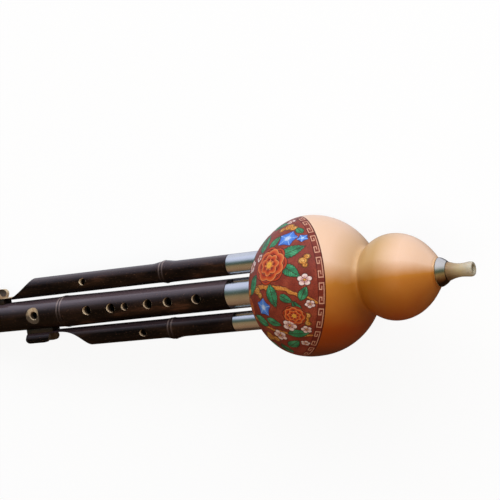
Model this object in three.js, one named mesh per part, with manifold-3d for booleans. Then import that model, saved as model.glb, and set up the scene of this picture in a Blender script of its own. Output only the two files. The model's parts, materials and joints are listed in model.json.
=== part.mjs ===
// Hulusi: a gourd wind chamber that feeds three bamboo pipes, each with its own free reed.
// Millimetres. In the instrument's own frame the pipes lie along X: the mouthpiece points
// to -X, the feet of the pipes to +X and the finger holes face +Z. X = 0 is the middle of
// the gourd's large lobe. The last lines lay the whole instrument on its back on a table.

import * as THREE from "three";
import { mergeVertices } from "three/addons/utils/BufferGeometryUtils.js";
import Module from "manifold-3d";

const wasm = await Module();
wasm.setup();

// Fits
const seatGap = 0.3; // left between pieces that seat on each other
const overrun = 1; // how far a cutter passes what it cuts

// Gourd: a large lobe, a small lobe and a cut neck, with an even wall
const lobeRadius = 44.8;
const lobePipeLength = 40.2; // from the large lobe's middle to its pole between the pipes
const lobeWaistLength = 43.7; // from the large lobe's middle towards the waist
const crownRadius = 26.9; // the small lobe
const crownDistance = 57.6; // between the middles of the two lobes
const crownWaistLength = 24.8;
const crownNeckLength = 29.9;
const waistBlend = 7; // difference in radius over which the lobes run into each other
const gourdWall = 4;
const neckRadius = 9;
const neckLength = 1; // straight part between the small lobe and the neck's shoulder
const spigotRadius = 6.2; // nose turned on the neck, which the collar covers
const spigotLength = 3.4;
const neckBoreRadius = 5.2;

// Wax poured round the sockets from inside
const waxThickness = 2.6;
const waxMargin = 3.2; // past the sockets, all round

// Mouthpiece and its metal collar
const collarLength = 5.2;
const collarTopRadius = 6.1;
const collarCurvePower = 1.6; // 1 is a cone, more is a fuller bell
const mouthpieceLength = 16; // outside the collar
const lipRadius = 4.55;
const mouthBoreRadius = 2.5;
const mouthFlareDepth = 1.4;
const mouthFlareWidth = 0.5;
const mouthTenonRadius = 4.5;
const mouthTenonLength = 13;
const mouthCorkLength = 8;
const mouthCorkInset = 2; // from the tenon's end
const mouthCorkDepth = 0.8; // of its groove

// Main pipe
const mainSocketRadius = 10;
const mainSocketReach = 20.9; // how far the socket stands past the gourd's pole
const mainPipeLength = 230.9; // from the socket to the foot
const mainNodeDistance = 137.3; // from the socket
const mainNodeRadius = 10.9; // of the bamboo just above its node
const mainBelowRadius = 10.6; // of the bamboo just below its node
const mainFootRadius = 10.3;
const mainBoreRadius = 6.3;
const fingerHoleRadius = 3.25;
const smallHoleRadius = 2.55; // of the fourth hole and the thumb hole
const holeBevel = 0.6;
const outletDistance = 160.6; // of the dished outlet hole, from the socket
const outletRadius = 2.75;
const dishHalfLength = 5.9; // of the dish filed across the pipe round the outlet
const dishDepth = 1.8;
const footBevel = 0.7;

// Drone pipes: the long one lies at -Y and the short one at +Y
const longDroneOffset = 19.2;
const shortDroneOffset = 18.6;
const longSocketRadius = 6.95;
const shortSocketRadius = 6.5;
const longSocketReach = 18.5;
const shortSocketReach = 20.4;
const longDroneLength = 216.2;
const shortDroneLength = 174.3;
const longNodeDistance = 51.3;
const shortNodeDistance = 49.4;
const longNodeRadius = 7.05;
const shortNodeRadius = 6.6;
const longBelowRadius = 6.6;
const shortBelowRadius = 6.5;
const longEndRadius = 6.85;
const shortEndRadius = 6.65;
const droneBoreRadius = 4;
const droneHoleRadius = 2.5;
const longHoleDistance = 117.5; // from the socket
const shortHoleDistance = 71.5;
const longHoleTurn = -0.12; // radians about the pipe, from straight up towards +Y
const shortHoleTurn = 0.16;

// Voicing cut and stub at the end of each drone
const longScoopLength = 21.6;
const shortScoopLength = 24.6;
const longBridgeLength = 10.7; // thin strip of wall between the scoop and the stub
const shortBridgeLength = 9.6;
const bridgeThickness = 1.8;
const stubLength = 21.3;
const stubHeight = 8; // left of the pipe's thickness
const stubCorner = 4.2;

// Spacer and peg that hold each stub to the main pipe
const spacerWidth = 8.4;
const spacerInset = 0.6; // from the drone's end
const spacerLead = 2.8; // past the stub, under the bridge
const pegRadius = 1.3;
const pegDepth = 3; // into the main pipe's wall

// Bamboo node rings
const nodeHalfLength = 2.8;
const mainNodeRise = 0.35;
const droneNodeRise = 0.5;
const septumLength = 1.6; // what is left of the node's wall inside the bore
const septumRise = 0.5;

// Metal sockets that are fixed in the gourd, and the pipes' tenons in them
const mainSocketWall = 0.8;
const droneSocketWall = 0.6;
const socketDepth = 5.5; // inside the gourd's inner wall
const socketBevel = 0.25;
const tenonLength = 17;
const tenonPlay = 0.45;
const sealLength = 8;
const sealInset = 4; // from the tenon's end
const sealDepth = 0.75; // of its groove

// Reed tubes, plugs, plates and tongues
const mainReedTubeWall = 1.2;
const droneReedTubeWall = 1.1;
const reedTubeGrip = 12; // length held in the bamboo
const mainReedReach = 34; // how far the tube stands past the tenon's end
const droneReedReach = 27;
const reedSetback = 3.5; // from the tube's closed end to the plate
const mainFlatDepth = 0.75; // filed off the tube's side for the plate
const droneFlatDepth = 0.7;
const plateThickness = 0.5;
const mainPlateLength = 26;
const dronePlateLength = 20;
const mainTongueLength = 20;
const droneTongueLength = 15;
const mainTongueWidth = 3;
const droneTongueWidth = 1.8;
const tongueTipShare = 0.4;
const tongueThickness = 0.35;
const plugLength = 5;
const plugHeadLength = 1.2;

// Facets round each kind of piece
const gourdFacets = 40;
const cavityFacets = 28;
const mainFacets = 28;
const droneFacets = 20;
const smallFacets = 16;
const holeFacets = 12;
const pegFacets = 8;
const fileFacets = 36;
const gourdLobeSteps = 9; // along each end of the gourd
const gourdMiddleSteps = 14; // between the middles of its lobes
const cavityLobeSteps = 6;
const cavityMiddleSteps = 9;
const collarSteps = 5;
const mouthpieceSteps = 12;
const cutSteps = 6; // along each curve of a voicing cut
const leanTurns = 30; // of the loop that finds how the instrument lies

// Tables of shares, chosen by hand
const fingerHoleShares = [0.136, 0.278, 0.379, 0.498, 0.571, 0.698]; // of the outlet's distance
const smallFingerHole = 3; // which of them is drilled small
const thumbHoleShare = 0.066;
const shankShares = [0, 0.35, 0.7]; // of a pipe's length from its socket to its node
const longScoopBendShares = [0.4, 0.3]; // of the scoop's length and depth, where it bends
const shortScoopBendShares = [0.3, 0.05];
const nodeRingShares = [
  [-1, 0],
  [-0.55, 0.7],
  [-0.25, 1],
  [0, 0.45],
  [0.25, 0.95],
  [0.6, 0.6],
  [1, 0],
]; // of the ring's half length and rise
const mouthpieceShares = [
  [0, 1.27],
  [0.1, 1.17],
  [0.24, 1.02],
  [0.42, 0.92],
  [0.58, 0.91],
  [0.74, 0.96],
  [0.87, 1],
  [0.96, 0.95],
  [1, 0.86],
]; // of the mouthpiece's length and the lip's radius

// Materials
function material(color, roughness, metalness) {
  return new THREE.MeshStandardMaterial({ color, roughness, metalness });
}
const gourdSkin = material(0xc8843a, 0.35, 0);
const bambooSkin = material(0x2b1712, 0.45, 0);
const spacerWood = material(0x241510, 0.6, 0);
const pegWood = material(0xb89a66, 0.7, 0);
const socketMetal = material(0xc9ced4, 0.22, 1);
const collarMetal = material(0xb8bdc2, 0.15, 1);
const reedBrass = material(0xc79a4b, 0.35, 1);
const reedTubeBrass = material(0xb28a48, 0.4, 1);
const ivoryResin = material(0xd8cfa8, 0.35, 0);
const corkSkin = material(0xb98b5c, 0.9, 0);
const waxSkin = material(0x8a5a24, 0.6, 0);

// Geometry and solids
function toSolid(geometry) {
  const bare = new THREE.BufferGeometry();
  bare.setAttribute("position", geometry.getAttribute("position"));
  bare.setIndex(geometry.getIndex());
  const merged = mergeVertices(bare);
  const corners = merged.getIndex().array;
  const kept = [];
  for (let i = 0; i < corners.length; i += 3) {
    const [a, b, c] = corners.slice(i, i + 3);
    if (a !== b && b !== c && c !== a) {
      kept.push(a, b, c);
    }
  }
  const mesh = new wasm.Mesh({
    numProp: 3,
    vertProperties: new Float32Array(merged.getAttribute("position").array),
    triVerts: new Uint32Array(kept),
  });
  return new wasm.Manifold(mesh);
}

function toGeometry(solid) {
  const mesh = solid.getMesh();
  const geometry = new THREE.BufferGeometry();
  geometry.setAttribute("position", new THREE.BufferAttribute(mesh.vertProperties, 3));
  geometry.setIndex(new THREE.BufferAttribute(mesh.triVerts, 1));
  geometry.computeVertexNormals();
  return geometry;
}

function piece(name, solid, skin) {
  const mesh = new THREE.Mesh(toGeometry(solid), skin);
  mesh.name = name;
  return mesh;
}

// A turned solid. The outline's points are [place along X, radius], in order of X on the
// outside. It starts and ends on the axis, or closes on itself.
function turned(outline, facets) {
  const points = outline.map(([along, radius]) => new THREE.Vector2(radius, along));
  const lathe = new THREE.LatheGeometry(points, facets);
  lathe.rotateZ(-Math.PI / 2);
  return toSolid(lathe);
}

function turnedRing(outline, facets) {
  return turned([...outline, outline[0]], facets);
}

function rod(from, to, radius, facets) {
  return turned([[from, 0], [from, radius], [to, radius], [to, 0]], facets);
}

function tube(from, to, inner, outer, facets) {
  return turnedRing([[from, inner], [from, outer], [to, outer], [to, inner]], facets);
}

function block(from, to) {
  const size = to.map((value, axis) => value - from[axis]);
  const box = new THREE.BoxGeometry(...size);
  box.translate(...from.map((value, axis) => value + size[axis] / 2));
  return toSolid(box);
}

// A drill that comes in from outside a pipe, square to its axis, and stops at the axis.
// It widens by the bevel where it meets the pipe's skin.
function holeDrill(along, radius, skinRadius, bevel, turn) {
  const reach = skinRadius + overrun;
  const outline = [
    [0, 0],
    [0, radius],
    [skinRadius - bevel, radius],
    [reach, radius + bevel + overrun],
    [reach, 0],
  ];
  const points = outline.map(([depth, width]) => new THREE.Vector2(width, depth));
  const drill = new THREE.LatheGeometry(points, holeFacets);
  drill.rotateX(Math.PI / 2 - turn);
  drill.translate(along, 0, 0);
  return toSolid(drill);
}

function smoothMax(a, b, blend) {
  const nearness = Math.max(blend - Math.abs(a - b), 0) / blend;
  return Math.max(a, b) + (nearness * nearness * blend) / 4;
}

// Gourd
// Half the width of an oval at a place along it. Read the other way round, with the width
// as the place, it gives how far from the oval's middle it is that wide.
function halfOval(place, length, radius) {
  const share = Math.min(Math.abs(place) / length, 1);
  return radius * Math.sqrt(1 - share * share);
}

const neckDistance =
  crownDistance + halfOval(neckRadius, crownRadius, crownNeckLength) + neckLength;

function gourdRadius(x, inset) {
  const lobeLength = x > 0 ? lobePipeLength : lobeWaistLength;
  const lobe = halfOval(x, lobeLength - inset, lobeRadius - inset);
  const fromCrown = x + crownDistance;
  const crownLength = fromCrown > 0 ? crownWaistLength : crownNeckLength;
  const crown = halfOval(fromCrown, crownLength - inset, crownRadius - inset);
  return smoothMax(lobe, crown, waistBlend);
}

function gourdStations(inset, neckEnd, lobeSteps, middleSteps) {
  const stations = [];
  const crownEnd = crownNeckLength - inset;
  const lastAngle = Math.asin(Math.min((neckEnd - crownDistance) / crownEnd, 1));
  for (let i = 0; i < lobeSteps; i += 1) {
    const angle = lastAngle * (1 - i / lobeSteps);
    stations.push(-crownDistance - crownEnd * Math.sin(angle));
  }
  for (let i = 0; i < middleSteps; i += 1) {
    stations.push(-crownDistance * (1 - i / middleSteps));
  }
  for (let i = 0; i < lobeSteps; i += 1) {
    const angle = (Math.PI / 2) * (i / lobeSteps);
    stations.push((lobePipeLength - inset) * Math.sin(angle));
  }
  return stations;
}

function gourdOutside() {
  const stations = gourdStations(0, neckDistance, gourdLobeSteps, gourdMiddleSteps);
  const outline = stations.map((x) => [x, Math.max(gourdRadius(x, 0), neckRadius)]);
  const spigotEnd = -neckDistance - spigotLength;
  const nose = [
    [spigotEnd, 0],
    [spigotEnd, spigotRadius],
    [-neckDistance, spigotRadius],
  ];
  return turned([...nose, ...outline, [lobePipeLength, 0]], gourdFacets);
}

function gourdHollow(inset) {
  const neckEnd = crownDistance + crownNeckLength - inset;
  const stations = gourdStations(inset, neckEnd, cavityLobeSteps, cavityMiddleSteps).slice(1);
  const outline = stations.map((x) => [x, gourdRadius(x, inset)]);
  return turned([[-neckEnd, 0], ...outline, [lobePipeLength - inset, 0]], cavityFacets);
}

// Pipes: the main one and two drones, from the same kinds of piece
const mainShoulder = lobePipeLength + mainSocketReach;
const longShoulder = lobePipeLength + longSocketReach;
const shortShoulder = lobePipeLength + shortSocketReach;
const pipes = [
  {
    name: "main",
    pipeName: "main_pipe",
    offset: 0,
    shoulder: mainShoulder,
    end: mainShoulder + mainPipeLength,
    node: mainShoulder + mainNodeDistance,
    nodeRise: mainNodeRise,
    radii: [mainSocketRadius, mainNodeRadius, mainBelowRadius, mainFootRadius],
    bore: mainBoreRadius,
    socketWall: mainSocketWall,
    reedWall: mainReedTubeWall,
    reedReach: mainReedReach,
    flatDepth: mainFlatDepth,
    plateLength: mainPlateLength,
    tongueLength: mainTongueLength,
    tongueWidth: mainTongueWidth,
    facets: mainFacets,
  },
  {
    name: "long_drone",
    pipeName: "long_drone_pipe",
    offset: -longDroneOffset,
    shoulder: longShoulder,
    end: longShoulder + longDroneLength,
    node: longShoulder + longNodeDistance,
    nodeRise: droneNodeRise,
    radii: [longSocketRadius, longNodeRadius, longBelowRadius, longEndRadius],
    bore: droneBoreRadius,
    socketWall: droneSocketWall,
    reedWall: droneReedTubeWall,
    reedReach: droneReedReach,
    flatDepth: droneFlatDepth,
    plateLength: dronePlateLength,
    tongueLength: droneTongueLength,
    tongueWidth: droneTongueWidth,
    facets: droneFacets,
    hole: longShoulder + longHoleDistance,
    holeTurn: longHoleTurn,
    scoop: longScoopLength,
    bridge: longBridgeLength,
    scoopBend: longScoopBendShares,
  },
  {
    name: "short_drone",
    pipeName: "short_drone_pipe",
    offset: shortDroneOffset,
    shoulder: shortShoulder,
    end: shortShoulder + shortDroneLength,
    node: shortShoulder + shortNodeDistance,
    nodeRise: droneNodeRise,
    radii: [shortSocketRadius, shortNodeRadius, shortBelowRadius, shortEndRadius],
    bore: droneBoreRadius,
    socketWall: droneSocketWall,
    reedWall: droneReedTubeWall,
    reedReach: droneReedReach,
    flatDepth: droneFlatDepth,
    plateLength: dronePlateLength,
    tongueLength: droneTongueLength,
    tongueWidth: droneTongueWidth,
    facets: droneFacets,
    hole: shortShoulder + shortHoleDistance,
    holeTurn: shortHoleTurn,
    scoop: shortScoopLength,
    bridge: shortBridgeLength,
    scoopBend: shortScoopBendShares,
  },
];
const drones = pipes.filter((pipe) => pipe.scoop);

function socketInner(pipe) {
  return pipe.radii[0] - pipe.socketWall;
}

// Where the gourd's inner wall stands, at the side of a socket that lies furthest out
function innerWallAt(pipe) {
  const reach = Math.abs(pipe.offset) + pipe.radii[0];
  return halfOval(reach, lobeRadius - gourdWall, lobePipeLength - gourdWall);
}

// Radius of the bamboo, which swells towards its node and is slimmer below it
function bambooRadius(pipe, x) {
  const [top, above, below, end] = pipe.radii;
  if (x <= pipe.node) {
    const share = (x - pipe.shoulder) / (pipe.node - pipe.shoulder);
    return top + (above - top) * share * share;
  }
  const share = (x - pipe.node) / (pipe.end - pipe.node);
  return below + (end - below) * share;
}

function bamboo(pipe) {
  const tenonEnd = pipe.shoulder - tenonLength;
  const tenonRadius = socketInner(pipe) - tenonPlay;
  const groove = tenonEnd + sealInset;
  const outside = [
    [tenonEnd, pipe.bore],
    [tenonEnd, tenonRadius],
    [groove, tenonRadius],
    [groove, tenonRadius - sealDepth],
    [groove + sealLength, tenonRadius - sealDepth],
    [groove + sealLength, tenonRadius],
    [pipe.shoulder, tenonRadius],
  ];
  const ringStart = pipe.node - nodeHalfLength;
  for (const share of shankShares) {
    const x = pipe.shoulder + (ringStart - pipe.shoulder) * share;
    outside.push([x, bambooRadius(pipe, x)]);
  }
  for (const [along, rise] of nodeRingShares) {
    const x = pipe.node + along * nodeHalfLength;
    outside.push([x, bambooRadius(pipe, x) + rise * pipe.nodeRise]);
  }
  outside.push([pipe.end - footBevel, bambooRadius(pipe, pipe.end - footBevel)]);
  outside.push([pipe.end, bambooRadius(pipe, pipe.end) - footBevel]);
  const septum = [
    [pipe.end, pipe.bore],
    [pipe.node + septumLength, pipe.bore],
    [pipe.node + septumLength / 2, pipe.bore - septumRise],
    [pipe.node - septumLength / 2, pipe.bore - septumRise],
    [pipe.node - septumLength, pipe.bore],
  ];
  return turnedRing([...outside, ...septum], pipe.facets);
}

// Peg that passes from the stub's inner wall, through the spacer, into the main pipe
function pegPlace(drone) {
  const main = pipes[0];
  const middle = drone.end - stubLength / 2;
  return {
    x: middle,
    from: bambooRadius(main, middle) - pegDepth,
    to: Math.abs(drone.offset) - drone.bore,
    side: Math.sign(drone.offset),
  };
}

function crossPeg(drone, radius, extra) {
  const place = pegPlace(drone);
  const length = place.to - place.from + extra;
  const peg = new THREE.CylinderGeometry(radius, radius, length, pegFacets);
  peg.translate(place.x, place.side * (place.to + place.from) / 2, 0);
  return toSolid(peg);
}

function mainPipe(pipe) {
  const span = outletDistance;
  let solid = bamboo(pipe);
  fingerHoleShares.forEach((share, index) => {
    const x = pipe.shoulder + share * span;
    const radius = index === smallFingerHole ? smallHoleRadius : fingerHoleRadius;
    solid = solid.subtract(holeDrill(x, radius, bambooRadius(pipe, x), holeBevel, 0));
  });
  const thumb = pipe.shoulder + thumbHoleShare * span;
  const thumbSkin = bambooRadius(pipe, thumb);
  solid = solid.subtract(holeDrill(thumb, smallHoleRadius, thumbSkin, holeBevel, Math.PI));
  const outlet = pipe.shoulder + outletDistance;
  const outletSkin = bambooRadius(pipe, outlet);
  solid = solid.subtract(holeDrill(outlet, outletRadius, outletSkin, 0, 0));
  const fileRadius = (dishHalfLength * dishHalfLength + dishDepth * dishDepth) / (2 * dishDepth);
  const file = new THREE.CylinderGeometry(fileRadius, fileRadius, 2 * outletSkin, fileFacets);
  file.rotateY(Math.PI / fileFacets);
  file.translate(outlet, 0, outletSkin - dishDepth + fileRadius);
  solid = solid.subtract(toSolid(file));
  for (const drone of drones) {
    solid = solid.subtract(crossPeg(drone, pegRadius + seatGap, 2 * seatGap));
  }
  return solid;
}

// The cut that opens the drone at its end: a long scoop from the outer side down to a thin
// bridge, then a pared stub with rounded corners. Heights are from the side by the main pipe.
function voicingCut(drone) {
  const side = Math.sign(drone.offset);
  const innerSide = Math.abs(drone.offset) - drone.radii[3];
  const top = 2 * drone.radii[3] + overrun;
  const stubStart = drone.end - stubLength;
  const bridgeStart = stubStart - drone.bridge;
  const scoopStart = bridgeStart - drone.scoop;
  const [bendAlong, bendUp] = drone.scoopBend;
  const outline = new THREE.Path();
  outline.moveTo(scoopStart, top);
  outline.quadraticCurveTo(
    scoopStart + drone.scoop * bendAlong,
    bridgeThickness + (top - bridgeThickness) * bendUp,
    bridgeStart,
    bridgeThickness,
  );
  outline.lineTo(stubStart, bridgeThickness);
  outline.lineTo(stubStart, stubHeight - stubCorner);
  outline.quadraticCurveTo(stubStart, stubHeight, stubStart + stubCorner, stubHeight);
  outline.lineTo(drone.end - stubCorner, stubHeight);
  outline.quadraticCurveTo(drone.end, stubHeight, drone.end, stubHeight - stubCorner);
  outline.lineTo(drone.end + overrun, stubHeight - stubCorner);
  outline.lineTo(drone.end + overrun, top);
  const corners = outline
    .getPoints(cutSteps)
    .map((point) => new THREE.Vector2(point.x, side * (innerSide + point.y) - drone.offset));
  const depth = 2 * top;
  const cut = new THREE.ExtrudeGeometry(new THREE.Shape(corners), {
    depth,
    bevelEnabled: false,
  });
  cut.translate(0, 0, -depth / 2);
  return toSolid(cut);
}

function dronePipe(drone) {
  const skin = bambooRadius(drone, drone.hole);
  return bamboo(drone)
    .subtract(holeDrill(drone.hole, droneHoleRadius, skin, holeBevel, drone.holeTurn))
    .subtract(voicingCut(drone))
    .subtract(crossPeg(drone, pegRadius + seatGap, 2 * seatGap).translate([0, -drone.offset, 0]));
}

function stubSpacer(drone) {
  const side = Math.sign(drone.offset);
  const from = drone.end - stubLength - spacerLead;
  const to = drone.end - spacerInset;
  const reach = Math.abs(drone.offset);
  const lowY = Math.min(0, side * reach);
  const slab = block([from, lowY, -spacerWidth / 2], [to, lowY + reach, spacerWidth / 2]);
  const mainSkin = bambooRadius(pipes[0], from) + seatGap;
  const droneSkin = Math.max(bambooRadius(drone, from), bambooRadius(drone, to)) + seatGap;
  return slab
    .subtract(rod(from - overrun, to + overrun, mainSkin, mainFacets))
    .subtract(rod(from - overrun, to + overrun, droneSkin, droneFacets).translate([0, drone.offset, 0]))
    .subtract(crossPeg(drone, pegRadius + seatGap, 2 * seatGap));
}

// Metal socket, fixed in the gourd
function socket(pipe) {
  const inside = innerWallAt(pipe) - socketDepth;
  const mouth = pipe.shoulder - seatGap;
  const outer = pipe.radii[0];
  return turnedRing(
    [
      [inside, socketInner(pipe)],
      [inside, outer],
      [mouth - socketBevel, outer],
      [mouth, outer - socketBevel],
      [mouth, socketInner(pipe)],
    ],
    pipe.facets,
  );
}

function tenonSeal(pipe) {
  const groove = pipe.shoulder - tenonLength + sealInset;
  const grooveRadius = socketInner(pipe) - tenonPlay - sealDepth;
  return tube(
    groove + seatGap,
    groove + sealLength - seatGap,
    grooveRadius + seatGap,
    socketInner(pipe) - seatGap,
    pipe.facets,
  );
}

// Reed assembly: a tube with a filed flat and a window, a plug in its closed end, a plate
// over the window and a tongue that swings through the slot in the plate
function reedPlaces(pipe) {
  const tenonEnd = pipe.shoulder - tenonLength;
  const tubeRadius = pipe.bore - seatGap;
  const closedEnd = tenonEnd - pipe.reedReach;
  const plateStart = closedEnd + reedSetback;
  const root = plateStart + (pipe.plateLength - pipe.tongueLength) / 2;
  return {
    tubeRadius,
    closedEnd,
    openEnd: tenonEnd + reedTubeGrip,
    flat: tubeRadius - pipe.flatDepth,
    plateStart,
    root,
  };
}

function tongueOutline(pipe, margin) {
  const half = pipe.tongueWidth / 2;
  const tip = half * tongueTipShare;
  return [
    new THREE.Vector2(-margin, -half - margin),
    new THREE.Vector2(pipe.tongueLength + margin, -tip - margin),
    new THREE.Vector2(pipe.tongueLength + margin, tip + margin),
    new THREE.Vector2(-margin, half + margin),
  ];
}

function flatPiece(outline, hole, thickness) {
  const shape = new THREE.Shape(outline);
  if (hole) {
    shape.holes.push(new THREE.Path(hole));
  }
  const sheet = new THREE.ExtrudeGeometry(shape, { depth: thickness, bevelEnabled: false });
  return toSolid(sheet);
}

function plateHalfWidth(pipe) {
  const { tubeRadius, flat } = reedPlaces(pipe);
  return Math.sqrt(tubeRadius * tubeRadius - flat * flat);
}

function reedTube(pipe) {
  const { tubeRadius, closedEnd, openEnd, flat, plateStart, root } = reedPlaces(pipe);
  const plateEnd = plateStart + pipe.plateLength;
  const windowHalf = pipe.tongueWidth / 2 + seatGap;
  const filed = block(
    [plateStart - seatGap, -tubeRadius, flat],
    [plateEnd + seatGap, tubeRadius, tubeRadius + overrun],
  );
  const opening = block(
    [root - seatGap, -windowHalf, 0],
    [root + pipe.tongueLength + seatGap, windowHalf, tubeRadius],
  );
  return tube(closedEnd, openEnd, tubeRadius - pipe.reedWall, tubeRadius, smallFacets)
    .subtract(filed)
    .subtract(opening);
}

function reedPlug(pipe) {
  const { tubeRadius, closedEnd } = reedPlaces(pipe);
  const stem = tubeRadius - pipe.reedWall - seatGap;
  const seat = closedEnd - seatGap;
  return turned(
    [
      [seat - plugHeadLength, 0],
      [seat - plugHeadLength, tubeRadius],
      [seat, tubeRadius],
      [seat, stem],
      [seat + plugLength, stem],
      [seat + plugLength, 0],
    ],
    smallFacets,
  );
}

function reedPlate(pipe) {
  const { plateStart, root } = reedPlaces(pipe);
  const half = plateHalfWidth(pipe);
  const outline = [
    new THREE.Vector2(plateStart, -half),
    new THREE.Vector2(plateStart + pipe.plateLength, -half),
    new THREE.Vector2(plateStart + pipe.plateLength, half),
    new THREE.Vector2(plateStart, half),
  ];
  const slot = tongueOutline(pipe, seatGap).map((point) => point.add(new THREE.Vector2(root, 0)));
  return flatPiece(outline, slot, plateThickness);
}

function reedTongue(pipe) {
  return flatPiece(tongueOutline(pipe, 0), null, tongueThickness);
}

// Mouthpiece, cork and collar, along -X from the neck's shoulder
const collarBase = -neckDistance - seatGap;
const collarTop = collarBase - collarLength;
const mouthpieceSeat = collarTop - seatGap;
const tenonInnerEnd = mouthpieceSeat + mouthTenonLength;
const corkEnd = tenonInnerEnd - mouthCorkInset;

function collar() {
  const skin = [];
  for (let i = 0; i <= collarSteps; i += 1) {
    const share = i / collarSteps;
    const fullness = 1 - share ** collarCurvePower;
    const radius = collarTopRadius + (neckRadius - collarTopRadius) * fullness;
    skin.push([collarBase - share * collarLength, radius]);
  }
  const spigotRoom = spigotRadius + seatGap;
  const roof = -neckDistance - spigotLength - seatGap;
  return turnedRing(
    [
      [collarTop, neckBoreRadius],
      ...skin.reverse(),
      [collarBase, spigotRoom],
      [roof, spigotRoom],
      [roof, neckBoreRadius],
    ],
    mainFacets,
  );
}

function mouthpiece() {
  const curve = new THREE.SplineCurve(
    mouthpieceShares.map(
      ([along, wide]) =>
        new THREE.Vector2(mouthpieceSeat - along * mouthpieceLength, wide * lipRadius),
    ),
  );
  const skin = curve.getPoints(mouthpieceSteps).map((point) => [point.x, point.y]);
  const tip = mouthpieceSeat - mouthpieceLength;
  const groove = mouthTenonRadius - mouthCorkDepth;
  return turnedRing(
    [
      ...skin.reverse(),
      [mouthpieceSeat, mouthTenonRadius],
      [corkEnd - mouthCorkLength, mouthTenonRadius],
      [corkEnd - mouthCorkLength, groove],
      [corkEnd, groove],
      [corkEnd, mouthTenonRadius],
      [tenonInnerEnd, mouthTenonRadius],
      [tenonInnerEnd, mouthBoreRadius],
      [tip + mouthFlareDepth, mouthBoreRadius],
      [tip, mouthBoreRadius + mouthFlareWidth],
    ],
    mainFacets,
  );
}

function mouthCork() {
  return tube(
    corkEnd - mouthCorkLength + seatGap,
    corkEnd - seatGap,
    mouthTenonRadius - mouthCorkDepth + seatGap,
    neckBoreRadius - seatGap,
    smallFacets,
  );
}

// Assembly
const instrument = new THREE.Group();

let gourd = gourdOutside().subtract(gourdHollow(gourdWall));
const neckEnd = -neckDistance - spigotLength;
gourd = gourd.subtract(rod(neckEnd - overrun, -crownDistance, neckBoreRadius, smallFacets));
let wax = gourdHollow(gourdWall + seatGap).subtract(gourdHollow(gourdWall + waxThickness));
const waxLength = Math.max(...pipes.map((pipe) => Math.abs(pipe.offset) + pipe.radii[0])) + waxMargin;
const waxWidth = mainSocketRadius + waxMargin;
const waxDisc = rod(0, lobePipeLength, 1, cavityFacets).scale([1, waxLength, waxWidth]);
wax = wax.intersect(waxDisc);
for (const pipe of pipes) {
  const reach = rod(0, pipe.shoulder, pipe.radii[0] + seatGap, pipe.facets);
  const passage = reach.translate([0, pipe.offset, 0]);
  gourd = gourd.subtract(passage);
  wax = wax.subtract(passage);
}
instrument.add(piece("gourd_body", gourd, gourdSkin));
instrument.add(piece("socket_wax", wax, waxSkin));
instrument.add(piece("mouthpiece_collar", collar(), collarMetal));
instrument.add(piece("mouthpiece", mouthpiece(), ivoryResin));
instrument.add(piece("mouthpiece_cork", mouthCork(), corkSkin));

for (const pipe of pipes) {
  const group = new THREE.Group();
  group.position.y = pipe.offset;
  const solid = pipe.scoop ? dronePipe(pipe) : mainPipe(pipe);
  group.add(piece(pipe.pipeName, solid, bambooSkin));
  group.add(piece(`${pipe.name}_ferrule`, socket(pipe), socketMetal));
  group.add(piece(`${pipe.name}_tenon_seal`, tenonSeal(pipe), corkSkin));
  group.add(piece(`${pipe.name}_reed_tube`, reedTube(pipe), reedTubeBrass));
  group.add(piece(`${pipe.name}_reed_plug`, reedPlug(pipe), waxSkin));
  const { flat, root } = reedPlaces(pipe);
  const plate = piece(`${pipe.name}_reed_plate`, reedPlate(pipe), reedBrass);
  plate.position.z = flat + seatGap;
  group.add(plate);
  const tongue = piece(`${pipe.name}_reed_tongue`, reedTongue(pipe), reedBrass);
  tongue.position.set(root, 0, flat + seatGap);
  group.add(tongue);
  instrument.add(group);
}

for (const drone of drones) {
  instrument.add(piece(`${drone.name}_spacer`, stubSpacer(drone), spacerWood));
  instrument.add(piece(`${drone.name}_peg`, crossPeg(drone, pegRadius, 0), pegWood));
}

// Lying on its back: the gourd and the foot of the main pipe touch the table. The lean is
// the angle at which both reach down equally far.
const foot = pipes[0].end;
let lean = 0;
for (let turn = 0; turn < leanTurns; turn += 1) {
  const gourdReach = Math.hypot(lobePipeLength * Math.sin(lean), lobeRadius * Math.cos(lean));
  lean = Math.asin((gourdReach - mainFootRadius * Math.cos(lean)) / (foot - footBevel));
}
const gourdReach = Math.hypot(lobePipeLength * Math.sin(lean), lobeRadius * Math.cos(lean));
const tipPlace = mouthpieceSeat - mouthpieceLength;
const lowX = tipPlace * Math.cos(lean) - lipRadius * Math.sin(lean);
const highX = foot * Math.cos(lean) + (mainFootRadius - footBevel) * Math.sin(lean);
instrument.rotation.y = lean;
instrument.position.set(-(lowX + highX) / 2, 0, gourdReach);

const hulusi = new THREE.Group();
hulusi.add(instrument);

export default hulusi;
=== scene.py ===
# Hulusi: a gourd wind chamber that feeds three bamboo pipes.
# Pieces are modelled in millimetres in the instrument's own frame, with the pipes along X, the
# finger holes facing +Z and the middle of the gourd's large lobe at zero, and are then laid
# into the part's frame, where the pipes slope down to the foot.

import math

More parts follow.
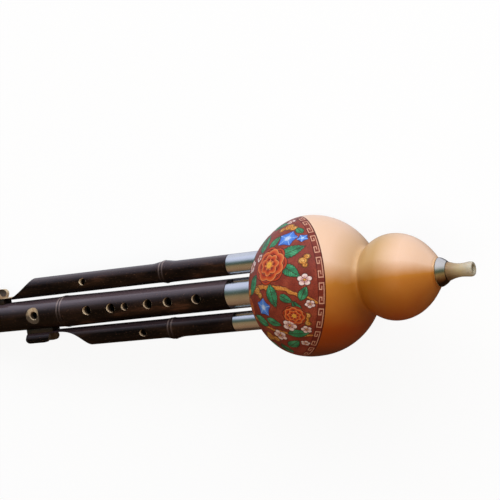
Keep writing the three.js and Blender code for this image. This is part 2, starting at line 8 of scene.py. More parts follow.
import bpy
from mathutils import Matrix, Quaternion, Vector
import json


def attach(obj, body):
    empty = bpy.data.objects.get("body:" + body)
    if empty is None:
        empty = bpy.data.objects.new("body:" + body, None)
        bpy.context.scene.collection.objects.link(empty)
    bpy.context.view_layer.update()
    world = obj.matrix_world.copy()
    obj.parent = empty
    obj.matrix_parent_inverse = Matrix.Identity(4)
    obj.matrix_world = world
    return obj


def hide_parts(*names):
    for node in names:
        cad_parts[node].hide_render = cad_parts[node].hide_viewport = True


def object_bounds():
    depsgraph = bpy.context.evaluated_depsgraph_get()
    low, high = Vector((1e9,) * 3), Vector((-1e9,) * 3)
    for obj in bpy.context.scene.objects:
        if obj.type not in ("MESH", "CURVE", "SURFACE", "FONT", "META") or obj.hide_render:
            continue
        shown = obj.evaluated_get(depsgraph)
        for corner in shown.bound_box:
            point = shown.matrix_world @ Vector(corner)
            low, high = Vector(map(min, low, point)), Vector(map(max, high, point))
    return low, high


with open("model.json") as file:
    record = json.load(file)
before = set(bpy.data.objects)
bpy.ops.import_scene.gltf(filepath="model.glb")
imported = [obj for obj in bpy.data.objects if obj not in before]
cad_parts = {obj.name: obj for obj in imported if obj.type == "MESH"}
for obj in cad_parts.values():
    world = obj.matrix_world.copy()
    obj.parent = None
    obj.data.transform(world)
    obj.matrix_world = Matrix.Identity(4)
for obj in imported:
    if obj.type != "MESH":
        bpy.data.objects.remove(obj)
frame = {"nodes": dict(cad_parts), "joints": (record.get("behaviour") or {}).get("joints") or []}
cad_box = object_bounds()
bpy.ops.object.select_all(action="DESELECT")

# Camera
# It stands above the mouthpiece end and looks down on the finger holes, with the picture's
# top towards the long drone.

mm = 0.001
joints = {joint["name"]: joint for joint in frame["joints"]}
along = Vector(joints["pipe_set_pull"]["axis"])
across = Vector((0, 1, 0))
upward = along.cross(across)
gourd_points = [vertex.co for vertex in frame["nodes"]["gourd_body"].data.vertices]
lobe_middle = max(gourd_points, key=lambda point: point.y).copy()
lobe_middle.y = 0
turn = Matrix((along, across, upward)).transposed().to_4x4()
lay = Matrix.Translation(lobe_middle) @ turn @ Matrix.Scale(mm, 4)

eye = Vector((-416.7, -77.4, 773.5))
aim = Vector((32.0, -28.35, 17.2))
roll = math.radians(-106.05)
bpy.ops.object.camera_add(location=lay @ eye)
camera = bpy.context.object
view_direction = (lay @ aim) - (lay @ eye)
camera.rotation_mode = "QUATERNION"
camera.rotation_quaternion = view_direction.to_track_quat("-Z", "Y") @ Quaternion((0, 0, 1), roll)
camera.data.lens = 100
camera.data.sensor_width = 36
camera.data.clip_start = 0.01
camera.data.clip_end = 20
scene = bpy.context.scene
scene.camera = camera
scene.view_settings.view_transform = "Standard"


# Floor and light
# A white sweep that keeps a faint shadow, a soft sky from the side of the long drone, an
# overcast top and a warm side by the short drone, which the metal sockets mirror as bands.


def paint(red, green, blue):
    """A colour as the eye reads it, 0 to 255, as the linear colour that a shader takes."""
    return tuple(
        part / 255 / 12.92 if part < 10.3 else ((part / 255 + 0.055) / 1.055) ** 2.4
        for part in (red, green, blue)
    )


class Reading:
    """One value on its way through a finish. Sums on readings add Math nodes."""

    def __init__(self, finish, socket):
        self.finish = finish
        self.socket = socket

    def math(self, operation, *others, clamp=False):
        settings = {"operation": operation, "use_clamp": clamp}
        return self.finish.node("ShaderNodeMath", settings, dict(enumerate((self, *others))))

    def flipped(self, operation, other):
        return self.finish.node("ShaderNodeMath", {"operation": operation}, {0: other, 1: self})

    def __add__(self, other):
        return self.math("ADD", other)

    def __sub__(self, other):
        return self.math("SUBTRACT", other)

    def __rsub__(self, other):
        return self.flipped("SUBTRACT", other)

    def __mul__(self, other):
        return self.math("MULTIPLY", other)

    def __truediv__(self, other):
        return self.math("DIVIDE", other)

    def __rtruediv__(self, other):
        return self.flipped("DIVIDE", other)

    def __neg__(self):
        return self.math("MULTIPLY", -1)

    def __abs__(self):
        return self.math("ABSOLUTE")

    __radd__ = __add__
    __rmul__ = __mul__

    def least(self, other):
        return self.math("MINIMUM", other)

    def most(self, other):
        return self.math("MAXIMUM", other)

    def below(self, limit, soft):
        """1 where the reading is under the limit, with an edge this soft."""
        return ((limit - self) / soft).math("ADD", 0.5, clamp=True)

    def above(self, limit, soft):
        return ((self - limit) / soft).math("ADD", 0.5, clamp=True)


class Finish:
    """One material or world, whose nodes are made by its methods. Colours are 0 to 255."""

    def __init__(self, name, library=bpy.data.materials):
        self.data = library.new(name)
        self.data.use_nodes = True
        self.tree = self.data.node_tree
        self.tree.nodes.clear()
        self.place = None

    def node(self, kind, settings=None, sockets=None, output=0):
        made = self.tree.nodes.new(kind)
        for name, value in (settings or {}).items():
            if name == "stops":
                ramp = made.color_ramp
                while len(ramp.elements) < len(value):
                    ramp.elements.new(0.5)
                for element, (place, *colour) in zip(ramp.elements, value):
                    element.position = place
                    element.color = (*paint(*colour), 1)
            else:
                setattr(made, name, value)
        for name, value in (sockets or {}).items():
            if isinstance(value, Reading):
                self.tree.links.new(value.socket, made.inputs[name])
            elif isinstance(value, tuple) and len(made.inputs[name].default_value) == 4:
                made.inputs[name].default_value = (*paint(*value), 1)
            else:
                made.inputs[name].default_value = value
        return Reading(self, made.outputs[output]) if made.outputs else None

    def readings(self, node, outputs):
        return [Reading(self, node.socket.node.outputs[output]) for output in outputs]

    def light_path(self, *outputs):
        return self.readings(self.node("ShaderNodeLightPath"), outputs)

    def split(self, place):
        return self.readings(self.node("ShaderNodeSeparateXYZ", {}, {0: place}), range(3))

    def colour(self, factor, first, second, blend="MIX"):
        settings = {"data_type": "RGBA", "blend_type": blend}
        return self.node("ShaderNodeMix", settings, {0: factor, 6: first, 7: second}, output=2)

    def ramp(self, factor, *stops):
        return self.node("ShaderNodeValToRGB", {"stops": stops}, {0: factor})

    def own_place(self):
        """Places in the instrument's own frame, in millimetres."""
        if self.place is None:
            sockets = {
                "Vector": self.node("ShaderNodeTexCoord", output=3),
                "Location": tuple(lobe_middle),
                "Rotation": tuple(turn.to_euler()),
                "Scale": (mm, mm, mm),
            }
            self.place = self.node("ShaderNodeMapping", {"vector_type": "TEXTURE"}, sockets)
        return self.place

    def noise(self, scale, detail=3.0, roughness=0.55):
        """Noise over the piece. Three scales stretch it along X, Y and Z."""
        place = self.own_place()
        if isinstance(scale, tuple):
            stretch = {"operation": "MULTIPLY"}
            place = self.node("ShaderNodeVectorMath", stretch, {0: place, 1: scale})
            scale = 1.0
        sockets = {"Vector": place, "Scale": scale, "Detail": detail, "Roughness": roughness}
        return self.node("ShaderNodeTexNoise", {}, sockets)

    def bump(self, height, distance, strength=1.0, under=None):
        sockets = {"Height": height, "Distance": distance, "Strength": strength}
        if under is not None:
            sockets["Normal"] = under
        return self.node("ShaderNodeBump", {}, sockets)

    def skin(self, colour, roughness, normal, others=None):
        """The Principled shader and the output that ends the material."""
        sockets = {"Base Color": colour, "Roughness": roughness, "Normal": normal}
        shader = self.node("ShaderNodeBsdfPrincipled", {}, {**sockets, **(others or {})})
        self.node("ShaderNodeOutputMaterial", {}, {"Surface": shader})
        return self.data


floor_size = 7
floor_gap = 0.0002
bpy.ops.mesh.primitive_plane_add(size=floor_size, location=(0, 0, cad_box[0].z - floor_gap))
floor = bpy.context.object
floor.name = "floor"
white = Finish("floor_white")
seen, mirrored, through = white.light_path("Is Camera Ray", "Is Glossy Ray", "Is Transmission Ray")
floor_colour = white.colour(white.noise(0.02), (168, 166, 162), (174, 172, 168))
floor_colour = white.colour(seen, floor_colour, (252, 252, 252))
matt = white.node("ShaderNodeBsdfDiffuse", {}, {"Color": floor_colour})
# Painted reflection: glossy rays see the floor pale as sky on the long drone's side, and dark brown
# like shade on the short drone's side.
toward_short = white.split(white.own_place())[1]
painted_reflection_colour = white.ramp(
    toward_short.above(0, 400),
    (0.0, 236, 242, 255),
    (0.37, 232, 236, 250),
    (0.44, 58, 54, 58),
    (0.5, 46, 40, 36),
    (0.6, 84, 64, 48),
    (1.0, 72, 54, 42),
)
glow_colour = white.colour(mirrored, (255, 255, 255), painted_reflection_colour)
glow = white.node("ShaderNodeEmission", {}, {"Color": glow_colour, "Strength": 1.0})
white_share = (seen * 0.9 + mirrored + through * 0.8).least(1)
sweep = white.node("ShaderNodeMixShader", {}, {0: white_share, 1: matt, 2: glow})
white.node("ShaderNodeOutputMaterial", {}, {"Surface": sweep})
floor.data.materials.append(white.data)

sky = Finish("studio_sky", bpy.data.worlds)
scene.world = sky.data
toward_y = sky.split(sky.node("ShaderNodeTexCoord", output=0))[1]
side_colour = sky.ramp(
    toward_y * 0.5 + 0.5,
    (0.0, 230, 236, 255),
    (0.12, 226, 233, 255),
    (0.22, 190, 200, 218),
    (0.3, 118, 134, 134),
    (0.385, 74, 92, 84),
    (0.47, 82, 90, 74),
    (0.6, 144, 124, 90),
    (0.8, 154, 124, 92),
    (0.93, 132, 100, 74),
    (1.0, 88, 66, 52),
)
seen, through = sky.light_path("Is Camera Ray", "Is Transmission Ray")
sky_colour = sky.colour(seen.most(through), side_colour, (242, 242, 242))
background = sky.node("ShaderNodeBackground", {}, {"Color": sky_colour, "Strength": 1.12})
sky.node("ShaderNodeOutputWorld", {}, {"Surface": background})


def soft_lamp(name, place, target, size, power, colour):
    bpy.ops.object.light_add(type="AREA", location=place)
    lamp = bpy.context.object
    lamp.name = name
    lamp.rotation_mode = "QUATERNION"
    lamp.rotation_quaternion = (Vector(target) - Vector(place)).to_track_quat("-Z", "Y")
    lamp.data.shape = "RECTANGLE"
    lamp.data.size, lamp.data.size_y = size
    lamp.data.energy = power
    lamp.data.color = colour
    lamp.visible_glossy = False


soft_lamp("sky_window", (-0.45, -1.6, 0.84), (-0.02, 0, 0.04), (2.4, 1.15), 34, (0.96, 0.97, 1.0))
soft_lamp("top_fill", (-0.3, 0.2, 1.8), (0, 0, 0.04), (0.9, 0.9), 9, (1.0, 0.97, 0.93))


# Gourd
# The dried, scraped and lacquered gourd: a large and a small lobe with an even wall, bored
# through the neck and cut for three sockets. A cap round the finger side is carved, stained
# and painted, inside a ring of key fret.

lobe_radius = 44.8
lobe_pipe_length = 40.2
lobe_waist_length = 43.7
crown_radius = 26.9
crown_distance = 57.6
crown_waist_length = 24.8
crown_neck_length = 29.9
waist_blend = 7
neck_taper = 3
gourd_wall = 4
inner_pole = lobe_pipe_length - gourd_wall
neck_radius = 9
neck_length = 1
spigot_radius = 6.2
spigot_length = 3.4
neck_bore_radius = 5.2
seat_gap = 0.3
gourd_segments = 360


def half_oval(place, length, radius):
    return radius * math.sqrt(max(1 - (place / length) ** 2, 0))


crown_neck_reach = half_oval(neck_radius, crown_radius, crown_neck_length)
neck_distance = crown_distance + crown_neck_reach + neck_length


def gourd_radius(x, inset):
    lobe_length = (lobe_pipe_length if x > 0 else lobe_waist_length) - inset
    lobe = half_oval(x, lobe_length, lobe_radius - inset)
    from_crown = x + crown_distance
    crown_length = (crown_waist_length if from_crown > 0 else crown_neck_length) - inset
    crown = half_oval(from_crown, crown_length, crown_radius - inset)
    toward_neck = min(max(-from_crown / crown_neck_reach, 0), 1)
    crown -= neck_taper * toward_neck**2 * (1 - toward_neck**10)
    nearness = max(waist_blend - abs(lobe - crown), 0) / waist_blend
    return max(lobe, crown) + nearness**2 * waist_blend / 4


def gourd_outline(inset, neck_end, narrowest, lobe_steps, middle_steps, neck_steps):
    """Points from the pole between the pipes to the neck."""
    pole = lobe_pipe_length - inset
    crown_end = crown_neck_length - inset
    last = math.asin(min((neck_end - crown_distance) / crown_end, 1))
    places = [pole * math.cos(math.pi / 2 * step / lobe_steps) for step in range(1, lobe_steps)]
    places += [-crown_distance * step / middle_steps for step in range(middle_steps)]
    on_lobes = [(x, gourd_radius(x, inset)) for x in places]
    steps = range(neck_steps + 1)
    places = [-crown_distance - crown_end * math.sin(last * step / neck_steps) for step in steps]
    return [(pole, 0), *on_lobes, *((x, max(gourd_radius(x, inset), narrowest)) for x in places)]


def only(piece):
    """Selects this piece alone."""
    bpy.ops.object.select_all(action="DESELECT")
    bpy.context.view_layer.objects.active = piece
    piece.select_set(True)


def drawn(name, points):
    """A line from point to point, left in edit mode with all of it selected."""
    bpy.ops.object.select_all(action="DESELECT")
    bpy.ops.mesh.primitive_plane_add(size=1, location=(0, 0, 0))
    bpy.context.object.name = name
    bpy.ops.object.mode_set(mode="EDIT")
    bpy.ops.mesh.merge(type="CENTER")
    bpy.ops.transform.translate(value=points[0])
    for here, there in zip(points, points[1:]):
        step = [end - start for start, end in zip(here, there)]
        bpy.ops.mesh.extrude_vertices_move(TRANSFORM_OT_translate={"value": step})
    bpy.ops.mesh.select_all(action="SELECT")
    return bpy.context.object


def turned(name, outline, segments, *skins):
    """A body turned about X from points of (place along X, radius), drawn as an open line that
    starts and ends on the axis or as a closed one."""
    body = drawn(name, [(x, 0, radius) for x, radius in outline])
    bpy.ops.mesh.spin(steps=segments, angle=2 * math.pi, center=(0, 0, 0), axis=(1, 0, 0))
    bpy.ops.mesh.select_all(action="SELECT")
    bpy.ops.mesh.remove_doubles(threshold=0.001)
    bpy.ops.mesh.normals_make_consistent(inside=False)
    bpy.ops.object.mode_set(mode="OBJECT")
    for skin in skins:
        body.data.materials.append(skin)
    return body


def rod(radius, length, middle, segments, skin, across=False):
    """A round rod along X, or along Y where it lies across."""
    bpy.ops.object.select_all(action="DESELECT")
    bpy.ops.mesh.primitive_cylinder_add(
        vertices=segments,
        radius=radius,
        depth=length,
        location=middle,
        rotation=(math.pi / 2, 0, 0) if across else (0, math.pi / 2, 0),
    )
    bpy.context.object.data.materials.append(skin)
    return bpy.context.object


def cut_away(body, cutter):
    """Takes the cutter out of the body. The cut faces keep the cutter's material."""
    only(body)
    difference = body.modifiers.new("cut", "BOOLEAN")
    difference.operation = "DIFFERENCE"
    difference.solver = "EXACT"
    difference.material_mode = "TRANSFER"
    difference.object = cutter
    bpy.ops.object.modifier_apply(modifier="cut")
    bpy.data.objects.remove(cutter)


def joined(pieces):
    only(pieces[0])
    for piece in pieces:
        piece.select_set(True)
    bpy.ops.object.join()
    bpy.ops.object.transform_apply(location=True, rotation=True, scale=True)
    return pieces[0]


def pushed(piece, chosen, by, reach, connected):
    """Moves the chosen points, and those within reach of them less, the further they are."""
    only(piece)
    bpy.ops.object.mode_set(mode="EDIT")
    bpy.ops.mesh.select_all(action="DESELECT")
    bpy.ops.object.mode_set(mode="OBJECT")
    for vertex in piece.data.vertices:
        vertex.select = chosen(vertex.co)
    bpy.ops.object.mode_set(mode="EDIT")
    bpy.ops.transform.translate(
        value=(0, by, 0),
        use_proportional_edit=True,
        proportional_edit_falloff="SMOOTH",
        proportional_size=reach,
        use_proportional_connected=connected,
    )
    bpy.ops.object.mode_set(mode="OBJECT")


def placed(piece, smooth_angle, node, body, offset=0):
    """Moves a finished piece from its own axis into the part's frame, in its node's place."""
    only(piece)
    if offset:
        bpy.ops.object.mode_set(mode="EDIT")
        bpy.ops.mesh.select_all(action="SELECT")
        bpy.ops.transform.translate(value=(0, offset, 0))
        bpy.ops.object.mode_set(mode="OBJECT")
    bpy.ops.object.shade_smooth_by_angle(angle=math.radians(smooth_angle))
    piece.matrix_world = lay
    bpy.ops.object.transform_apply(location=True, rotation=True, scale=True)
    piece.select_set(False)
    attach(piece, body)
    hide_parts(node)


def grained(name, scale, stops, rough, bump, detail=4, roughness=0.55, others=None):
    """A finish whose one grain shifts its colour, its roughness (by, from) and its surface."""
    finish = Finish(name)
    grain = finish.noise(scale, detail, roughness)
    rough_by, rough_from = rough
    colour = finish.ramp(grain, *stops)
    return finish.skin(colour, grain * rough_by + rough_from, finish.bump(grain, *bump), others)


pipe_values = {
    "main": {"offset": 0, "reach": 20.9, "radius": 10, "wall": 0.8},
    "long_drone": {"offset": -19.2, "reach": 18.5, "radius": 6.95, "wall": 0.6},
    "short_drone": {"offset": 18.6, "reach": 20.4, "radius": 6.5, "wall": 0.6},
}
for values in pipe_values.values():
    values["shoulder"] = lobe_pipe_length + values["reach"]
    values["inner"] = values["radius"] - values["wall"]

# Raw shell, where the gourd is cut and inside: pale, dry and fibrous
raw_shell = grained(
    "raw_gourd",
    0.5,
    ((0.3, 150, 112, 66), (0.55, 196, 160, 106), (0.75, 222, 196, 148)),
    (0.2, 0.7),
    (0.0006, 0.6),
    detail=6,
    roughness=0.7,
)
hollow_end = crown_distance + crown_neck_length - gourd_wall
gourd_line = [
    *gourd_outline(0, neck_distance, neck_radius, 96, 104, 44),
    (-neck_distance, spigot_radius),
    (-neck_distance - spigot_length, spigot_radius),
    (-neck_distance - spigot_length, neck_bore_radius),
    *reversed(gourd_outline(gourd_wall, hollow_end, neck_bore_radius, 11, 12, 6)),
]
gourd = turned("gourd", gourd_line, gourd_segments, None, raw_shell)
skin_depth = 1.5
for face in gourd.data.polygons:
    x, y, z = face.center
    inside = math.hypot(y, z) < gourd_radius(x, 0) - skin_depth and x < inner_pole
    past_pole = x > inner_pole - 0.5 and face.normal.x < 0
    on_nose = x < -neck_distance + 0.1
    if inside or past_pole or on_nose:
        face.material_index = 1

# The gourd grew a little askew: its pipe end leans towards the short drone
lean_from = 24
lean_reach = 30
lean_by = 1.9
pushed(gourd, lambda point: point.x > lean_from, lean_by, lean_reach, False)

# The sockets' holes
hole_start = 10
holes = []
for values in pipe_values.values():
    length = values["shoulder"] - hole_start
    middle = (hole_start + length / 2, values["offset"], 0)
    holes.append(rod(values["radius"] + seat_gap, length, middle, 96, raw_shell))
cut_away(gourd, joined(holes))

# The carved and painted cap
# Each motif of the picture takes the faces of the shell that lie under it and gives them its
# own flat coordinates, so that its lines are drawn and cut sharply at any distance.
cap_axis = Vector((0.673, -0.129, 0.728)).normalized()
cap_right = Vector((-0.740, -0.118, 0.663)).normalized()
cap_top = Vector((0, -0.985, -0.175)).normalized()
cap_radius = 57.8
cap_margin = 1.5
motif_margin = 1.12
past_cap = -40
fret_inner = 58.3
fret_outer = 62.0
fret_pairs = 17
leaf, cloud, blossom, peony, bellflower = 1, 2, 3, 4, 5

# Place to the right and up and half size, all in millimetres, and turn in degrees
leaves_and_clouds = {
    leaf: (
        (39, 23, 9, 35), (11, 30, 8.5, 110), (41, 8, 8, -35), (8, 1, 8, -125), (27, -8, 8, -85),
        (48, -9, 6, 60), (31, -38, 7.5, -20), (8, -22, 7.5, 150), (19, -45, 7, 10), (22, 30, 6, 70),
        (12, 46, 8, 20), (36, -11, 5.5, -40), (20, -25, 6, -35), (34, 42, 5, 150), (6, -47, 7, 60),
        (41, -18, 5.5, 100), (0, 33, 6, 160), (-6, -42, 7.5, 200), (-43, -21, 8, 250),
        (-12, -21, 8, -60), (-44, 5, 8, 150), (-13, 5, 8, 60), (-34, 18, 7.5, 100),
        (-7, 21, 7.5, 170), (-29, -41, 7.5, 220), (-21, 44, 8, 130), (-22, -26, 6.5, 110),
        (-41, -34, 5.5, 30),
    ),
    cloud: (
        (49, 16, 6.5, 90), (24, 43, 8, 15), (43, -29, 6.5, 65), (-42, 27, 8, 120),
        (6, -35, 8, -15), (-48, -9, 7, 80), (-16, -35, 8, 10), (-13, 33, 8, 20), (14, -4, 6, -30),
    ),
}
flowers = {
    peony: ((25, 13, 13.5, 10), (-28, -7, 14.5, 60), (37, -24, 8, 0), (-2, -12, 7, 30)),
    bellflower: (
        (31, 33, 7.5, 20), (41, 35, 4.2, 70), (17, -14, 6.5, 0), (-24, 24, 8, 50),
        (-34, -29, 7, 10),
    ),
    blossom: (
        (50, 1, 5, 15), (30, -30, 5, 40), (17, -35, 5, 5), (38, -37, 3.8, 0), (3, 14, 5, 30),
        (1, 43, 5.5, 12), (12, 19, 3.2, 50), (-42, 37, 4.5, 0), (-8, -51, 4, 10),
        (-19, -47, 5, 45), (-33, 42, 4, 30), (-9, 50, 4, 30), (50, -18, 3.6, 30),
        (27, -48, 3.4, 30), (17, 51, 3.4, 20),
    ),
}


def flattened(point):
    """Where a point of the shell lies on the flattened cap."""
    ray = point.normalized()
    flat = Vector((ray.dot(cap_right), ray.dot(cap_top)))
    return flat.normalized() * math.acos(max(-1, min(1, ray.dot(cap_axis)))) * lobe_radius


def lay_motifs(body, map_name, kinds):
    """Gives each face under a motif its kind, size and own coordinates, packed in one UV map:
    whole numbers hold kind and size, and the rest the place within the motif."""
    motifs = [(kind, *motif) for kind, group in kinds.items() for motif in group]
    layer = body.data.uv_layers.new(name=map_name)
    flat = [flattened(vertex.co) for vertex in body.data.vertices]
    for face in body.data.polygons:
        middle = flattened(face.center)
        too_far = face.center.x < past_cap or middle.length > cap_radius + cap_margin
        if face.material_index or too_far:
            continue
        nearest = min(motifs, key=lambda motif: (middle - Vector(motif[1:3])).length / motif[3])
        kind, right, top, size, angle = nearest
        motif_middle = Vector((right, top))
        if (middle - motif_middle).length > size * motif_margin:
            continue
        turned_back = Matrix.Rotation(math.radians(-angle), 2)
        for corner, vertex in zip(face.loop_indices, face.vertices):
            own = turned_back @ (flat[vertex] - motif_middle) / size
            layer.data[corner].uv = (kind + 0.5 + own.x / 4, round(size * 2) + 0.5 + own.y / 4)


lay_motifs(gourd, "leaves_and_clouds", leaves_and_clouds)
lay_motifs(gourd, "flowers", flowers)


def apart(right, top):
    return (right * right + top * top).math("SQRT")


# Lacquered skin: golden with random clouding, and painted light and shade across it: pale and
# pinkish on the long drone's side, redder and darker on the short drone's side, less dark underneath
lacquer = Finish("gourd_skin")
x, y, z = lacquer.split(lacquer.own_place())
cloudy = lacquer.noise(0.03, detail=4)
fine = lacquer.noise(0.35, detail=5, roughness=0.6)
round_axis = apart(y, z).most(1)
painted_light_side = y.least(0) / round_axis / 2
painted_shade_side = y.most(0) * round_axis * (z / 70 + 1).least(1).most(0.5) / 4150
ripeness_and_painted_light = (painted_light_side + painted_shade_side + (cloudy - 0.5) * 0.2).above(0, 1)
skin_colour = lacquer.ramp(
    ripeness_and_painted_light,
    (0.05, 220, 184, 156),
    (0.25, 223, 185, 156),
    (0.46, 186, 121, 46),
    (0.7, 160, 69, 5),
    (0.86, 142, 61, 4),
    (1.0, 94, 34, 2),
)
# Painted shade: darker in the crease of the waist, beside the small lobe, and on the neck under the
# collar.
painted_waist_shade = abs(x + 49).below(13, 15) * ripeness_and_painted_light.below(0.66, 0.4)
painted_neck_shade = (-x).above(85.6, 1.5) * 0.7
skin_colour = lacquer.colour(painted_waist_shade.most(painted_neck_shade), skin_colour, (214, 206, 161), "MULTIPLY")
freckles = lacquer.noise(1.6, detail=2).above(0.68, 0.08)
skin_colour = lacquer.colour(freckles * 0.12, skin_colour, (140, 78, 28))
skin_colour = lacquer.colour(fine * 0.3, skin_colour, (206, 176, 140), "SOFT_LIGHT")

# Places on the flattened cap
ray = lacquer.node("ShaderNodeVectorMath", {"operation": "NORMALIZE"}, {0: lacquer.own_place()})
dot = {"operation": "DOT_PRODUCT"}
sideways, topways, forward = (
    lacquer.node("ShaderNodeVectorMath", dot, {0: ray, 1: direction}, output=1)
    for direction in (cap_right, cap_top, cap_axis)
)
from_middle = forward.math("ARCCOSINE") * lobe_radius
spread = from_middle / apart(sideways, topways).most(0.0001)
flat_right = sideways * spread
flat_top = topways * spread
stroke = 0.5
soft = 0.18

# Ground: maroon stain, pricked all over
cells = {"Vector": lacquer.own_place(), "Scale": 1.15}
pricks = lacquer.node("ShaderNodeTexVoronoi", {"feature": "F1"}, cells).below(0.34, 0.2)
wear_and_painted_sheen = lacquer.noise(0.12, detail=4)
ground = lacquer.ramp(wear_and_painted_sheen, (0.3, 112, 38, 24), (0.5, 134, 50, 32), (0.7, 158, 70, 46))
ground = lacquer.colour(pricks * 0.55, ground, (80, 24, 16))

# Branch: ochre, with knots, sweeping across behind the flowers
sway = lacquer.noise(0.09, detail=2)
bough_line = flat_top - (flat_right * flat_right * -0.012 + flat_right * 0.42 - 4) - (sway - 0.5) * 9
bough_width = 2.3 - flat_right * 0.02
twig_line = flat_top + flat_right * 0.62 + 20 - (sway - 0.5) * 7
bough = (abs(bough_line) - bough_width).least(abs(twig_line) - 1.3)
bark = lacquer.ramp(lacquer.noise(0.9, detail=3), (0.35, 170, 92, 36), (0.6, 214, 142, 62))
relief = bough.below(0, soft)
picture = lacquer.colour(relief, ground, bark)
cuts = abs(bough).below(stroke / 2, soft)


def motif_map(name):
    """Kind, own coordinates, half size, stroke and blur of the motif on a face."""
    packed = lacquer.split(lacquer.node("ShaderNodeUVMap", {"uv_map": name}))
    size = (packed[1].math("FLOOR") / 2).most(1)
    own_right = (packed[0].math("FRACT") - 0.5) * 4
    own_top = (packed[1].math("FRACT") - 0.5) * 4
    return packed[0].math("FLOOR"), own_right, own_top, size, stroke / size, soft / size


def laid_over(wanted, rim, motif_colour, lines, edge=0.6, widen=1):
    """The picture, its cut lines and its relief, with one kind of motif laid over them."""
    of_kind = abs(kind - wanted).below(0.5, 0.01)
    body = of_kind * rim.below(0, blur * widen)
    outline = of_kind * abs(rim).below(line * edge, blur * widen)
    over = lacquer.colour(body, picture, motif_colour)
    return over, (cuts * (1 - body)).most(lines * body).most(outline), relief.most(body)


# Leaves and clouds
kind, own_right, own_top, size, line, blur = motif_map("leaves_and_clouds")
leaf_width = (1 - own_right * own_right) * (0.5 - own_right * 0.14)
leaf_width = leaf_width + (own_right * 26).math("SINE") * 0.022
midrib = abs(own_top).below(line * 0.5, blur)
veins = ((own_right - abs(own_top) * 0.9) * 4.5).math("FRACT").below(0.16, 0.1)
hatch = ((own_right * 0.3 + own_top + sway * 0.5) * size * 1.1).math("FRACT").below(0.3, 0.2)
tone = lacquer.noise(0.22, detail=3)
leaf_colour = lacquer.ramp(tone, (0.36, 14, 104, 66), (0.5, 30, 142, 92), (0.66, 74, 176, 122))
leaf_colour = lacquer.colour(hatch * 0.35, leaf_colour, (14, 62, 76))
leaf_rim = abs(own_top) - leaf_width
leaf_lines = midrib.most(veins * 0.8)
picture, cuts, relief = laid_over(leaf, leaf_rim, leaf_colour, leaf_lines, edge=0.7)

puff = None
for right, top, radius in ((-0.56, -0.12, 0.32), (-0.05, 0.16, 0.46), (0.52, -0.1, 0.36)):
    lobe = apart(own_right - right, own_top - top) - radius
    puff = puff.least(lobe) if puff else lobe
scroll = abs((puff * 5.5).math("FRACT") - 0.5).below(0.13, 0.1)
cloud_stops = ((0.36, 196, 112, 38), (0.5, 220, 148, 58), (0.66, 234, 178, 98))
picture, cuts, relief = laid_over(cloud, puff, lacquer.ramp(tone, *cloud_stops), scroll)

# Flowers
kind, own_right, own_top, size, line, blur = motif_map("flowers")
out = apart(own_right, own_top)
round_it = own_top.math("ARCTAN2", own_right)

petals = abs((round_it * 2.5).math("COSINE"))
blossom_rim = out - (petals.math("POWER", 0.6) * 0.38 + 0.58)
blossom_colour = lacquer.ramp(out, (0.1, 206, 96, 84), (0.4, 232, 186, 178), (0.85, 242, 222, 214))
blossom_colour = lacquer.colour(out.below(0.17, blur), blossom_colour, (224, 160, 62))
stamens = abs(out - 0.4).below(0.07, 0.05) * (round_it * 15).math("COSINE").above(0.3, 0.3)
creases = (petals * out).below(line * 0.7, blur) * out.above(0.28, blur)
blossom_lines = creases.most(stamens).most(abs(out - 0.17).below(line * 0.4, blur))
picture, cuts, relief = laid_over(blossom, blossom_rim, blossom_colour, blossom_lines)

petal_ring = (out * 3.6).math("FLOOR")
frill = abs((round_it * 3.5 + petal_ring * 1.7).math("SINE"))
layers = out * 3.6 + (1 - frill) * 0.42
petal_depth = layers.math("FRACT")
peony_colour = lacquer.ramp(
    petal_depth, (0.0, 140, 34, 12), (0.45, 190, 66, 24), (0.85, 210, 106, 48), (1.0, 226, 150, 92)
)
peony_colour = lacquer.colour(out.below(0.16, 0.08), peony_colour, (228, 168, 60))
peony_lines = petal_depth.below(0.12, 0.1)
picture, cuts, relief = laid_over(
    peony, layers - 3.55, peony_colour, peony_lines, edge=2.4, widen=3
)

bell_waves = abs((round_it * 2.5).math("SINE"))
bell_rim = out - ((1 - bell_waves) * 0.26 + 0.72)
bell_colour = lacquer.ramp(out, (0.12, 216, 226, 240), (0.34, 74, 140, 224), (0.9, 30, 96, 196))
bell_rays = (bell_waves * out).below(line * 1.3, blur)
bell_colour = lacquer.colour(bell_rays * 0.7, bell_colour, (168, 202, 240))
ripples = (out * size * 0.9).math("FRACT").below(0.22, 0.16)
picture, cuts, relief = laid_over(bellflower, bell_rim, bell_colour, ripples * 0.4)

paint_grain = lacquer.noise(2.2, detail=2)
picture = lacquer.colour(paint_grain * 0.3, picture, (96, 40, 26))
picture = lacquer.colour(cuts * 0.8, picture, (58, 20, 14))

# Ring of key fret: pale lines on the maroon band, each key of five straight strokes
beat = topways.math("ARCTAN2", sideways) * (fret_pairs / math.pi)
key_right = abs((beat * 0.5).math("FRACT") - 0.5) * 2
key_top = (from_middle - fret_inner) / (fret_outer - fret_inner)
keys = None
for left, right, low, high in (
    (-0.1, 0.82, 0.81, 0.95),
    (0.74, 0.82, 0.05, 0.95),
    (0.26, 0.82, 0.05, 0.19),
    (0.26, 0.34, 0.05, 0.6),
    (0.26, 0.56, 0.46, 0.6),
):
    bar = abs(key_right - (left + right) / 2).below((right - left) / 2, 0.05)
    bar = bar * abs(key_top - (low + high) / 2).below((high - low) / 2, 0.08)
    keys = keys.most(bar) if keys else bar
keys = keys * (0.75 + paint_grain * 0.5).least(1)
band = (from_middle - fret_inner).above(-0.2, soft)
fret = lacquer.colour(keys, lacquer.colour(0.6, ground, (92, 28, 18)), (206, 150, 122))
picture = lacquer.colour(band, picture, fret)
outer_edge = abs(from_middle - fret_outer - 0.35).below(0.4, soft)
inner_edge = abs(from_middle - fret_inner + 0.25).below(0.25, soft)
edges = outer_edge.most(inner_edge)
